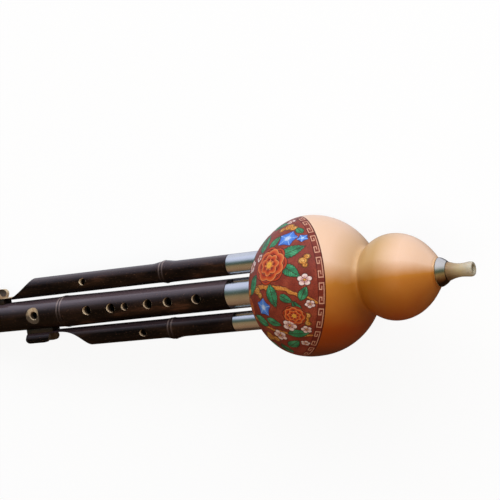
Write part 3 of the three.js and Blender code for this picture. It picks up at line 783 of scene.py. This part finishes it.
picture = lacquer.colour(edges, picture, (84, 22, 14))
cuts = (cuts * (1 - band)).most(keys * 0.7 * band).most(edges)
relief = (relief * (1 - band)).most(band * 0.6)
in_cap = from_middle.below(fret_outer + 0.7, soft)

skin_bump = lacquer.bump(cloudy * 0.7 + fine * 0.3, 0.0004, 0.25)
carved = (relief * (1 - cuts) + pricks * -0.25) * in_cap + (1 - in_cap)
gourd.data.materials[0] = lacquer.skin(
    lacquer.colour(in_cap, skin_colour, picture),
    fine * 0.12 + in_cap * 0.16 + 0.3,
    lacquer.bump(carved, 0.0004, 0.6, under=skin_bump),
    {"Specular IOR Level": 0.36, "Coat Weight": 0.14 - in_cap * 0.08, "Coat Roughness": 0.24},
)
placed(gourd, 40, "gourd_body", "gourd")


# Sockets
# Three sleeves of nickel silver tube, fixed in the gourd, that the pipes push into. Each has a
# softly rolled mouth, and is polished along its length and lightly brushed round and round.

tenon_length = 17
socket_depth = 5.5
sleeve_break = 0.15
nickel = Finish("socket_metal")
brushed = nickel.noise((9, 0.25, 0.25), detail=4, roughness=0.7)
smudges = nickel.noise(0.12, detail=4)
scratches = nickel.noise((0.3, 3, 3), detail=2).above(0.7, 0.04)
nickel_skin = nickel.skin(
    nickel.colour(smudges, (196, 198, 204), (222, 223, 226)),
    brushed * 0.1 + smudges * 0.1 + scratches * 0.1 + 0.1,
    nickel.bump(brushed + scratches * 0.5, 0.00002, 0.5),
    {"Metallic": 1.0},
)


def arc(middle, radii, start, end, steps):
    """Points on an oval curve, between two angles in quarter turns."""
    angles = [math.pi / 2 * (start + (end - start) * step / steps) for step in range(steps + 1)]
    return [
        (middle[0] + radii[0] * math.cos(angle), middle[1] + radii[1] * math.sin(angle))
        for angle in angles
    ]


for name, values in pipe_values.items():
    outer = values["radius"]
    inner = values["inner"]
    side = abs(values["offset"]) + outer
    start = half_oval(side, lobe_radius - gourd_wall, inner_pole) - socket_depth
    lip = values["wall"] / 2
    lip_start = values["shoulder"] - seat_gap - lip
    sleeve_line = [
        (start, inner),
        (start, outer - sleeve_break),
        (start + sleeve_break, outer),
        *((start + (lip_start - start) * step / 12, outer) for step in range(1, 12)),
        *arc((lip_start, inner + lip), (lip, lip), 1, -1, 8),
        (start, inner),
    ]
    sleeve = turned(f"{name}_socket", sleeve_line, 96, nickel_skin)
    placed(sleeve, 50, f"{name}_ferrule", "gourd", values["offset"])


# Pipes
# Purple-black bamboo, rubbed until it shines, with a sheen painted along each pipe's -Y side. The
# main pipe has six finger holes in front, one behind for the thumb and a dished outlet; each drone
# has one hole, and ends in a long voicing scoop, a thin bridge and a pared stub. All are turned
# down to a tenon that fits its socket.

tenon_play = 0.45
tenon_break = 0.3
shoulder_break = 0.25
seal_length = 8
seal_inset = 4
seal_depth = 0.75
foot_bevel = 0.7
hole_bevel = 0.35
node_half = 2.8
node_step = 0.35
plain_step = 2.2
septum_half = 1.6
septum_crest = 0.8
septum_rise = 0.5
peg_radius = 1.3
stub_length = 21.3
stub_height = 8
stub_corner = 4.2
bridge_thickness = 1.8
scoop_steps = 24
peg_depth = 3

pipe_values["main"].update(
    node_name="main_pipe", length=230.9, node=137.3, rise=0.35, bore=6.3, segments=112,
    radii=(10, 10.9, 10.6, 10.3), pale_from=8.9, char_from=9, dye_from=9, dye_lean=0.4,
    shine=(8, 0.1, 0.95),
)
pipe_values["long_drone"].update(
    node_name="long_drone_pipe", length=216.2, node=51.3, rise=0.5, bore=4, segments=80,
    radii=(6.95, 7.05, 6.6, 6.85), hole=117.5, hole_turn=-0.12, scoop=21.6, bridge=10.7,
    bend=(0.4, 0.3), scar=2.6, pale_from=4.6, char_from=0, dye_from=7.4, dye_lean=0,
    shine=(4.5, -0.35, 0.55),
)
pipe_values["short_drone"].update(
    node_name="short_drone_pipe", length=174.3, node=49.4, rise=0.5, bore=4, segments=80,
    radii=(6.5, 6.6, 6.5, 6.65), hole=71.5, hole_turn=0.16, scoop=24.6, bridge=9.6,
    bend=(0.3, 0.05), scar=1.2, pale_from=5.7, char_from=0, dye_from=1, dye_lean=0,
    shine=(4, -0.35, 0.6),
)
drones = ("long_drone", "short_drone")
for values in pipe_values.values():
    values["end"] = values["shoulder"] + values["length"]
    values["node"] += values["shoulder"]
    values["side"] = math.copysign(1, values["offset"])

# How high each swelling of a node stands, where it lies and how wide it is
node_swellings = ((0.62, -0.34, 0.24), (0.55, 0.38, 0.26), (0.35, 0, 1.5))


def bamboo_radius(values, x):
    top, above, below, end = values["radii"]
    if x <= values["node"]:
        share = (x - values["shoulder"]) / (values["node"] - values["shoulder"])
        radius = top + (above - top) * share**2
    else:
        share = (x - values["node"]) / (values["end"] - values["node"])
        radius = below + (end - below) * share
    from_node = (x - values["node"]) / node_half
    return radius + values["rise"] * sum(
        height * math.exp(-(((from_node - place) / width) ** 2))
        for height, place, width in node_swellings
    )


def bamboo_line(values):
    """The outline of a whole pipe: tenon with its groove, skin, foot and bore."""
    shoulder, node, end, bore = (values[name] for name in ("shoulder", "node", "end", "bore"))
    start = shoulder - tenon_length
    tenon = values["inner"] - tenon_play
    groove = start + seal_inset
    line = [
        (start, bore),
        (start, tenon - tenon_break),
        (start + tenon_break, tenon),
        (groove, tenon),
        (groove, tenon - seal_depth),
        (groove + seal_length, tenon - seal_depth),
        (groove + seal_length, tenon),
        (shoulder, tenon),
        (shoulder, bamboo_radius(values, shoulder) - shoulder_break),
    ]
    x = shoulder + shoulder_break
    while x < end - foot_bevel - 1:
        line.append((x, bamboo_radius(values, x)))
        x += node_step if abs(x - node) < node_half * 1.2 else plain_step
    foot = (end - foot_bevel, bamboo_radius(values, end) - foot_bevel)
    return [
        *line,
        *arc(foot, (foot_bevel, foot_bevel), 1, 0, 4),
        (end, bore),
        (node + septum_half, bore),
        (node + septum_crest, bore - septum_rise),
        (node - septum_crest, bore - septum_rise),
        (node - septum_half, bore),
        (start, bore),
    ]


def bamboo_skin(name, node, offset, shine):
    """The dark skin of one pipe, with a sheen painted on its -Y side and the pale rings of its node,
    painted brighter on that lit side.
    """
    width, edge, strength = shine
    finish = Finish(name)
    x, y = finish.split(finish.own_place())[:2]
    from_side = y - offset
    from_node = x - node
    clouds = finish.noise((0.018, 0.07, 0.07), detail=4)
    patches = finish.noise((0.035, 0.13, 0.13), detail=5, roughness=0.65)
    fibre = finish.noise((0.06, 2.4, 2.4), detail=4, roughness=0.6)
    streak = finish.noise((0.02, 0.9, 0.9), detail=3)
    stops = ((0.38, 5, 3, 3), (0.5, 13, 7, 5), (0.6, 40, 25, 16), (0.72, 92, 58, 40))
    skin = finish.ramp(clouds * 0.55 + patches * 0.45, *stops)
    skin = finish.colour(streak.above(0.52, 0.16) * 0.45, skin, (28, 16, 16))
    skin = finish.colour(fibre * 0.3, skin, (60, 42, 34), "SOFT_LIGHT")
    # Painted sheen: the -Y side is mixed towards purple-grey, fading towards the foot; the same mask
    # also thickens the coat there.
    sheen_side = (from_side / -width + (streak - 0.5) * 0.3).math("ADD", edge, clamp=True)
    sheen_side = sheen_side * (1 - x.above(235, 90) * 0.16)
    skin = finish.colour(sheen_side * (0.35 + patches * 0.5), skin, (50, 33, 38))
    wear_and_painted_sheen = sheen_side * sheen_side * sheen_side
    skin = finish.colour(wear_and_painted_sheen * (strength * strength * 0.56), skin, (98, 82, 86))
    lit_side = from_side.below(0, 16)
    lit_share = lit_side * lit_side * lit_side * 0.85 + 0.04
    first = abs(from_node + 1.5).below(0.42, 0.6)
    second = abs(from_node - 1.35).below(0.6, 0.7)
    broken = patches.above(0.36, 0.2)
    rings = (first * 0.8 + second).least(1) * (broken * 0.5 + 0.5) * lit_share
    skin = finish.colour(rings, skin, (146, 126, 120))
    between = abs(from_node + 0.05).below(0.55, 0.4)
    skin = finish.colour(between * 0.6, skin, (22, 12, 10))
    dots = finish.noise((1.2, 2.2, 2.2), detail=1).above(0.71, 0.03)
    return finish.skin(
        finish.colour(dots * 0.35, skin, (150, 108, 84)),
        patches * 0.2 + streak * 0.1 + 0.18,
        finish.bump(fibre * 0.5 + clouds + rings * 0.2, 0.00025, 0.3),
        {
            "Specular IOR Level": 0.1,
            "Coat Weight": sheen_side * (0.6 + patches * 0.8) * strength,
            "Coat IOR": 1.62,
            "Coat Roughness": 0.22,
        },
    )


def raw_bamboo(name, offset, pale_from, dye_from, dye_lean):
    """Cut bamboo: straw-coloured near the skin, dark where a hole runs deeper, and dark brown
    outward from a given radius, partly stain soaked in from the skin and partly painted shade,
    which can lean darker towards +Y."""
    finish = Finish(name)
    y, z = finish.split(finish.own_place())[1:]
    grain = finish.noise((0.12, 3.2, 3.2), detail=4, roughness=0.7)
    stain = finish.noise(0.22, detail=3)
    wood = finish.ramp(grain, (0.3, 144, 116, 86), (0.5, 204, 182, 148), (0.72, 230, 214, 186))
    wood = finish.colour(stain.above(0.5, 0.3) * 0.5, wood, (120, 78, 48))
    from_side = y - offset
    from_axis = apart(from_side, z)
    deeper_dark = from_axis.below(pale_from + (stain - 0.5) * 1.2, 0.7)
    wood = finish.colour(deeper_dark * 0.94, wood, (38, 23, 14))
    stain_and_painted_shade = (from_axis + from_side * dye_lean).above(dye_from + (stain - 0.5) * 4, 1.4)
    wood = finish.colour(stain_and_painted_shade * 0.9, wood, (30, 17, 12))
    return finish.skin(wood, grain * 0.2 + 0.55, finish.bump(grain, 0.0002, 0.5))


def drill(radius, skin_radius, bevel, place, angle, skin):
    """A drill that comes in from outside and stops on the pipe's axis, eased at the skin."""
    line = [(0, 0), (0, radius), (skin_radius - bevel * 1.5, radius)]
    for share in (0.25, 0.5, 0.75, 1):
        line.append((skin_radius - bevel * 1.5 * (1 - share), radius + bevel * share**2))
    line += [(skin_radius + 2, radius + bevel + 1.5), (skin_radius + 2, 0)]
    bit = turned("drill", line, 48, skin)
    bit.rotation_mode = "YXZ"
    bit.rotation_euler = (-angle, -math.pi / 2, 0)
    bit.location = (place, 0, 0)
    return bit


def peg_rod(values, gap, origin, skin):
    """A drone's peg, or with a gap round it the cutter for its hole."""
    middle = values["end"] - stub_length / 2
    inner = bamboo_radius(pipe_values["main"], middle) - peg_depth
    outer = abs(values["offset"]) - values["bore"]
    place = (middle, values["side"] * (outer + inner) / 2 - origin, 0)
    return rod(peg_radius + gap, outer - inner + 2 * gap, place, 32, skin, across=True)


def voicing_cutter(values, skin):
    """The waste that is pared off a drone's end, seen from above and then drawn up in Z."""
    radius = values["radii"][3]
    end = values["end"]
    top = 2 * radius + 1
    stub_start = end - stub_length
    bridge_start = stub_start - values["bridge"]
    scoop_start = bridge_start - values["scoop"]
    bend_along, bend_up = values["bend"]
    bend_place = scoop_start + values["scoop"] * bend_along
    bend_height = bridge_thickness + (top - bridge_thickness) * bend_up
    first = Vector((scoop_start, top))
    second = Vector((bend_place, bend_height))
    third = Vector((bridge_start, bridge_thickness))
    line = []
    for step in range(scoop_steps + 1):
        share = step / scoop_steps
        line.append(first.lerp(second, share).lerp(second.lerp(third, share), share))
    corner_height = stub_height - stub_corner
    rounding = (stub_corner, stub_corner)
    line += [
        (stub_start, bridge_thickness),
        *arc((stub_start + stub_corner, corner_height), rounding, 2, 1, 8),
        *arc((end - stub_corner, corner_height), rounding, 1, 0, 8),
        (end + 1, corner_height),
        (end + 1, top),
    ]
    waste = drawn("waste", [(x, values["side"] * (height - radius), -top) for x, height in line])
    bpy.ops.mesh.edge_face_add()
    bpy.ops.mesh.extrude_region_move(TRANSFORM_OT_translate={"value": (0, 0, 2 * top)})
    bpy.ops.mesh.select_all(action="SELECT")
    bpy.ops.mesh.normals_make_consistent(inside=False)
    bpy.ops.object.mode_set(mode="OBJECT")
    waste.data.materials.append(skin)
    return waste


finger_shares = (0.136, 0.278, 0.379, 0.498, 0.571, 0.698)
finger_radius = 3.25
small_radius = 2.55
small_finger = 3
thumb_share = 0.066
outlet_distance = 160.6
outlet_radius = 2.75
outlet_bevel = 0.25
dish_half_length = 5.9
dish_depth = 1.8
drone_hole_radius = 2.5
scar_push = 0.75
scar_reach = 7
unstained_unshaded = 30
bore_margin = 0.6

for name, values in pipe_values.items():
    offset = values["offset"]
    shoulder = values["shoulder"]
    bore = values["bore"]
    skin = bamboo_skin(f"{name}_bamboo", values["node"], offset, values["shine"])
    raw = raw_bamboo(f"{name}_raw", offset, values["pale_from"], unstained_unshaded, 0)
    # Painted shade: the second cut finish darkens the outlet dish towards +Y and nearly all of the
    # short drone's pared faces, besides stain near the skin.
    dye = (values["char_from"], values["dye_from"], values["dye_lean"])
    stain_and_painted_shade = raw_bamboo(f"{name}_dyed", offset, *dye)
    pipe = turned(f"{name}_bamboo", bamboo_line(values), values["segments"], skin, raw)
    for face in pipe.data.polygons:
        x, y, z = face.center
        in_bore = math.hypot(y, z) < bore + bore_margin
        if x < shoulder - 0.05 or in_bore or x > values["end"] - 0.15:
            face.material_index = 1
    if name == "main":
        cutters = []
        for index, share in enumerate(finger_shares):
            x = shoulder + share * outlet_distance
            radius = small_radius if index == small_finger else finger_radius
            cutters.append(drill(radius, bamboo_radius(values, x), hole_bevel, x, 0, raw))
        x = shoulder + thumb_share * outlet_distance
        cutters.append(drill(small_radius, bamboo_radius(values, x), hole_bevel, x, math.pi, raw))
        x = shoulder + outlet_distance
        skin_radius = bamboo_radius(values, x)
        cutters.append(drill(outlet_radius, skin_radius - dish_depth, outlet_bevel, x, 0, raw))
        cutters += [peg_rod(pipe_values[drone], seat_gap, 0, raw) for drone in drones]
        cut_away(pipe, joined(cutters))
        file_radius = (dish_half_length**2 + dish_depth**2) / (2 * dish_depth)
        place = (x, 0, skin_radius - dish_depth + file_radius)
        cut_away(pipe, rod(file_radius, 3 * skin_radius, place, 128, stain_and_painted_shade, across=True))
    else:
        # The bud scar swells the outer side of the drone's node
        pushed(
            pipe,
            lambda point: abs(point.x - values["node"]) < values["scar"]
            and math.hypot(point.y, point.z) > bore + 1
            and point.y * values["side"] > bore + 1.6,
            values["side"] * scar_push,
            scar_reach,
            True,
        )
        x = shoulder + values["hole"]
        skin_radius = bamboo_radius(values, x)
        hole = drill(drone_hole_radius, skin_radius, hole_bevel, x, values["hole_turn"], raw)
        cut_away(pipe, joined([hole, peg_rod(values, seat_gap, offset, raw)]))
        cut_away(pipe, voicing_cutter(values, stain_and_painted_shade))
    placed(pipe, 32, values["node_name"], "pipe_set", offset)


# Collar
# A thin bell, spun from sheet metal and bright plated. It is pushed and glued over the gourd's
# turned-down neck and hides the cut.

collar_length = 5.2
collar_top_radius = 6.1
collar_power = 1.6
collar_break = 0.2
collar_steps = 24
collar_base = -neck_distance - seat_gap
collar_top = collar_base - collar_length
collar_roof = -neck_distance - spigot_length - seat_gap
collar_bore = spigot_radius + seat_gap
bright = Finish("collar_metal")
spun = bright.noise((7, 0.3, 0.3), detail=3)
haze = bright.noise(0.3, detail=3)
# Painted reflection and shade: the plating is pale on the -Y side and turns dark brown towards +Y.
collar_painted_reflection = bright.ramp(
    bright.split(bright.own_place())[1] / 18 + haze * 0.2 + 0.4,
    (0.0, 212, 210, 210),
    (0.5, 218, 204, 172),
    (0.72, 132, 104, 74),
    (1.0, 50, 36, 26),
)
collar_roughness = spun * 0.08 + haze * 0.1 + 0.14
collar_bump = bright.bump(spun, 0.00003, 0.4)
collar_skin = bright.skin(collar_painted_reflection, collar_roughness, collar_bump, {"Metallic": 1.0})
collar_line = [
    (collar_base, collar_bore),
    (collar_base, neck_radius - collar_break),
    (collar_base - collar_break, neck_radius),
]
for step in range(1, collar_steps + 1):
    share = step / collar_steps
    fullness = 1 - share**collar_power
    radius = collar_top_radius + (neck_radius - collar_top_radius) * fullness
    collar_line.append((collar_base - share * collar_length, radius))
collar_line += [
    (collar_top, neck_bore_radius),
    (collar_roof, neck_bore_radius),
    (collar_roof, collar_bore),
    (collar_base, collar_bore),
]
collar = turned("collar", collar_line, 112, collar_skin)
placed(collar, 50, "mouthpiece_collar", "gourd")


# Mouthpiece
# Turned from ivory-coloured resin: it narrows from the collar, swells to a rounded lip and is
# bored through. A corked tenon holds it in the neck.

mouthpiece_length = 16
lip_radius = 4.55
lip_depth = 1.4
lip_rise = 0.5
mouth_bore_radius = 2.5
mouth_seat = collar_top - seat_gap
mouth_tip = mouth_seat - mouthpiece_length
mouth_tenon_radius = 4.5
mouth_tenon_break = 0.4
mouth_tenon_length = 13
mouth_tenon_end = mouth_seat + mouth_tenon_length
cork_length = 8
cork_inset = 2
cork_depth = 0.8
cork_end = mouth_tenon_end - cork_inset
lip_shares = (
    (0, 1.27), (0.1, 1.17), (0.24, 1.02), (0.42, 0.92), (0.58, 0.91), (0.74, 0.96), (0.87, 1),
    (0.96, 0.95), (1, 0.86),
)


def smooth_curve(points, steps):
    """A curve that passes through all the points without a kink."""
    ends = [points[0], *points, points[-1]]
    line = []
    for a, b, c, d in zip(ends, ends[1:], ends[2:], ends[3:]):
        for step in range(steps):
            t = step / steps
            straight = 2 * b + (c - a) * t
            bent = (2 * a - 5 * b + 4 * c - d) * t**2 + (3 * b - a - 3 * c + d) * t**3
            line.append((straight + bent) / 2)
    return [*line, points[-1]]


lip_points = [
    Vector((mouth_seat - share * mouthpiece_length, wide * lip_radius)) for share, wide in lip_shares
]
mouth_skin = [tuple(point) for point in smooth_curve(lip_points, 6)]
brim = mouth_skin[-1][1]
brim_shares = [step / 8 for step in range(1, 9)]
inner_brim = mouth_bore_radius + lip_rise
mouth_line = [
    (mouth_tenon_end, mouth_bore_radius),
    (mouth_tenon_end, mouth_tenon_radius - mouth_tenon_break),
    (mouth_tenon_end - mouth_tenon_break, mouth_tenon_radius),
    (cork_end, mouth_tenon_radius),
    (cork_end, mouth_tenon_radius - cork_depth),
    (cork_end - cork_length, mouth_tenon_radius - cork_depth),
    (cork_end - cork_length, mouth_tenon_radius),
    (mouth_seat, mouth_tenon_radius),
    *mouth_skin,
    *((mouth_tip, brim * (1 - share) + inner_brim * share) for share in brim_shares),
    *arc((mouth_tip, mouth_bore_radius), (lip_depth, lip_rise), 1, 0, 8)[1:],
    (mouth_tenon_end, mouth_bore_radius),
]
resin = Finish("ivory_resin")
swirl = resin.noise((0.12, 0.4, 0.4), detail=3)
x, y = resin.split(resin.own_place())[:2]
toward_seat = x.above((mouth_tip + mouth_seat) / 2, mouthpiece_length)
resin_colour = resin.ramp(
    toward_seat + (swirl - 0.5) * 0.3,
    (0.0, 186, 176, 154),
    (0.5, 174, 154, 116),
    (1.0, 136, 104, 64),
)
# Painted shade: the resin darkens on its +Y side next to the collar.
painted_collar_shade = toward_seat.above(0.72, 0.5) * y.above(0, 6)
resin_skin = resin.skin(
    resin.colour(painted_collar_shade * 0.85, resin_colour, (74, 48, 26)),
    swirl * 0.1 + 0.18,
    resin.bump(swirl, 0.0001, 0.3),
    {
        "Coat Weight": 0.4,
        "Coat Roughness": 0.08,
        "Subsurface Weight": 0.15,
        "Subsurface Radius": (0.002, 0.0012, 0.0006),
    },
)
mouth = turned("resin_mouthpiece", mouth_line, 96, resin_skin)
placed(mouth, 40, "mouthpiece", "mouth")


# Spacers
# A saddle of stained hardwood between each drone's stub and the main pipe, hollowed to fit
# both, its ends and long edges eased with a knife.

spacer_width = 8.4
spacer_inset = 0.6
spacer_lead = 2.8
spacer_easing = 0.25
dark_wood = Finish("spacer_wood")
ticks = dark_wood.noise((0.08, 2.6, 2.6), detail=4, roughness=0.65)
depth = dark_wood.noise(0.14, detail=3)
dark_stops = ((0.34, 8, 6, 4), (0.5, 18, 12, 8), (0.68, 50, 29, 18))
dark_wood_skin = dark_wood.skin(
    dark_wood.ramp(ticks * 0.6 + depth * 0.4, *dark_stops),
    ticks * 0.2 + 0.42,
    dark_wood.bump(ticks, 0.0002, 0.5),
    {"Coat Weight": 0.15},
)


def block(spans, skin):
    """A block that fills its spans along X, Y and Z."""
    bpy.ops.object.select_all(action="DESELECT")
    bpy.ops.mesh.primitive_cube_add(size=1, location=[(low + high) / 2 for low, high in spans])
    bpy.context.object.scale = [abs(high - low) for low, high in spans]
    bpy.ops.object.transform_apply(location=True, rotation=True, scale=True)
    bpy.context.object.data.materials.append(skin)
    return bpy.context.object


def eased(piece, width, angle):
    """Breaks the edges that are sharper than this angle."""
    only(piece)
    edges = piece.modifiers.new("eased", "BEVEL")
    edges.width = width
    edges.segments = 2
    edges.limit_method = "ANGLE"
    edges.angle_limit = math.radians(angle)
    bpy.ops.object.modifier_apply(modifier="eased")


for name in drones:
    values = pipe_values[name]
    offset = values["offset"]
    start = values["end"] - stub_length - spacer_lead
    end = values["end"] - spacer_inset
    saddle = block(
        ((start, end), (0, offset), (-spacer_width / 2, spacer_width / 2)), dark_wood_skin
    )
    saddle.name = f"{name}_saddle"
    main_radius = bamboo_radius(pipe_values["main"], start)
    drone_radius = max(bamboo_radius(values, start), bamboo_radius(values, end))
    for place, radius in ((0, main_radius), (offset, drone_radius)):
        middle = ((start + end) / 2, place, 0)
        cut_away(saddle, rod(radius + seat_gap, end - start + 4, middle, 128, dark_wood_skin))
    cut_away(saddle, peg_rod(values, seat_gap, 0, dark_wood_skin))
    eased(saddle, spacer_easing, 50)
    placed(saddle, 40, f"{name}_spacer", "pipe_set")


# Pegs
# Pins of split bamboo, pared round. They are driven through stub and spacer into the main
# pipe's wall, and hold the three pipes together as one set.

peg_easing = 0.2
pin_skin = grained(
    "peg_wood",
    (2.6, 0.2, 2.6),
    ((0.3, 128, 92, 52), (0.5, 182, 144, 94), (0.7, 216, 184, 134)),
    (0.15, 0.6),
    (0.0001, 0.6),
)
for name in drones:
    pin = peg_rod(pipe_values[name], 0, 0, pin_skin)
    bpy.ops.object.transform_apply(location=True, rotation=True, scale=True)
    pin.name = f"{name}_pin"
    eased(pin, peg_easing, 30)
    placed(pin, 40, f"{name}_peg", "pipe_set")


# Corks
# Sleeves of sheet cork, glued into grooves on the pipes' tenons and on the mouthpiece's, sanded
# round so that they bind gently, and greased.

cork_break = 0.2
cork = Finish("cork")
cells = {"Vector": cork.own_place(), "Scale": 1.1}
crumbs = cork.split(cork.node("ShaderNodeTexVoronoi", {"feature": "F1"}, cells, output=1))[0]
pores = cork.noise(1.4, detail=3, roughness=0.7)
pits = pores.below(0.4, 0.08)
cork_stops = ((0.2, 118, 74, 40), (0.5, 172, 124, 78), (0.8, 202, 158, 108))
cork_colour = cork.ramp(crumbs * 0.5 + pores * 0.5, *cork_stops)
cork_skin = cork.skin(
    cork.colour(pits * 0.7, cork_colour, (70, 40, 22)),
    pores * 0.15 + 0.72,
    cork.bump(pores - pits * 0.6, 0.0003, 0.7),
)


def cork_sleeve(name, groove, length, floor_radius, bore_radius, node, body, offset):
    """A sleeve that fills a groove, with a little room at its ends and in its bore."""
    start = groove + seat_gap
    end = groove + length - seat_gap
    inner = floor_radius + seat_gap
    outer = bore_radius - seat_gap
    skin_length = end - start - 2 * cork_break
    line = [
        (start, inner),
        (start, outer - cork_break),
        *((start + cork_break + skin_length * step / 6, outer) for step in range(7)),
        (end, outer - cork_break),
        (end, inner),
        (start, inner),
    ]
    placed(turned(name, line, 64, cork_skin), 40, node, body, offset)


for name, values in pipe_values.items():
    groove = values["shoulder"] - tenon_length + seal_inset
    groove_floor = values["inner"] - tenon_play - seal_depth
    cork_sleeve(
        f"{name}_cork", groove, seal_length, groove_floor, values["inner"],
        f"{name}_tenon_seal", "pipe_set", values["offset"],
    )
cork_sleeve(
    "mouth_cork", cork_end - cork_length, cork_length, mouth_tenon_radius - cork_depth,
    neck_bore_radius, "mouthpiece_cork", "mouth", 0,
)


# Reeds
# Brass tubes stand in the pipes' tenons and reach into the gourd. Each has a filed flat with a
# window, a brass plate over it with a tapered slot, a tongue that beats in the slot, and a plug
# of wax and rosin in its closed end.

reed_grip = 12
reed_setback = 3.5
tube_break = 0.15
tube_mouth_break = 0.3
plug_length = 5
plug_head = 1.2
plug_round = 0.6
plug_ease = 0.2
stem_break = 0.4
pipe_values["main"].update(tube_wall=1.2, reed_reach=34, flat=0.75, plate=26, tongue=20, width=3)
for name in drones:
    pipe_values[name].update(tube_wall=1.1, reed_reach=27, flat=0.7, plate=20, tongue=15, width=1.8)


def brass(name, light, dark, rough):
    """Handled brass: brown where it has tarnished, with file marks across."""
    finish = Finish(name)
    tarnish = finish.noise(0.16, detail=5, roughness=0.6)
    marks = finish.noise((6, 0.4, 0.4), detail=3)
    colour = finish.ramp(tarnish, (0.36, *dark), (0.56, *light))
    roughness = marks * 0.12 + tarnish * 0.12 + rough
    return finish.skin(colour, roughness, finish.bump(marks, 0.00003, 0.6), {"Metallic": 1.0})


tube_skin = brass("reed_tube_brass", (196, 160, 96), (138, 100, 54), 0.22)
reed_skin = brass("reed_brass", (222, 186, 112), (176, 134, 70), 0.14)
wax_skin = grained(
    "wax",
    0.18,
    ((0.35, 84, 48, 18), (0.6, 150, 98, 42)),
    (0.2, 0.38),
    (0.0008, 0.5),
    others={"Subsurface Weight": 0.1, "Subsurface Radius": (0.002, 0.001, 0.0004)},
)

for name, values in pipe_values.items():
    radius = values["bore"] - seat_gap
    inner = radius - values["tube_wall"]
    flat = radius - values["flat"]
    half_window = values["width"] / 2 + seat_gap
    tenon_end = values["shoulder"] - tenon_length
    closed = tenon_end - values["reed_reach"]
    opened = tenon_end + reed_grip
    tube_line = [
        (closed, inner),
        (closed, radius - tube_break),
        (closed + tube_break, radius),
        (opened - tube_mouth_break, radius),
        (opened, radius - tube_mouth_break),
        (opened, inner),
        (closed, inner),
    ]
    tube = turned(f"{name}_tube", tube_line, 64, tube_skin)
    start = closed + reed_setback - seat_gap
    end = start + values["plate"] + 2 * seat_gap
    cut_away(tube, block(((start, end), (-radius, radius), (flat, radius + 1)), tube_skin))
    start += (values["plate"] - values["tongue"]) / 2
    end = start + values["tongue"] + 2 * seat_gap
    cut_away(tube, block(((start, end), (-half_window, half_window), (0, radius)), tube_skin))
    placed(tube, 35, f"{name}_reed_tube", "pipe_set", values["offset"])

    stem = inner - seat_gap
    seat = closed - seat_gap
    plug_line = [
        (seat - plug_head, 0),
        (seat - plug_head, radius - plug_round),
        (seat - plug_head + plug_ease, radius - plug_ease),
        (seat - plug_head + plug_round, radius),
        (seat, radius),
        (seat, stem),
        (seat + plug_length - stem_break, stem),
        (seat + plug_length, stem - stem_break),
        (seat + plug_length, 0),
    ]
    plug = turned(f"{name}_plug", plug_line, 64, wax_skin)
    placed(plug, 40, f"{name}_reed_plug", "pipe_set", values["offset"])

# Plates, tongues and the wax bed keep their solids, with the finishes above
for name, node in frame["nodes"].items():
    if name.endswith(("_reed_plate", "_reed_tongue", "socket_wax")):
        node.data.materials.clear()
        node.data.materials.append(wax_skin if name == "socket_wax" else reed_skin)
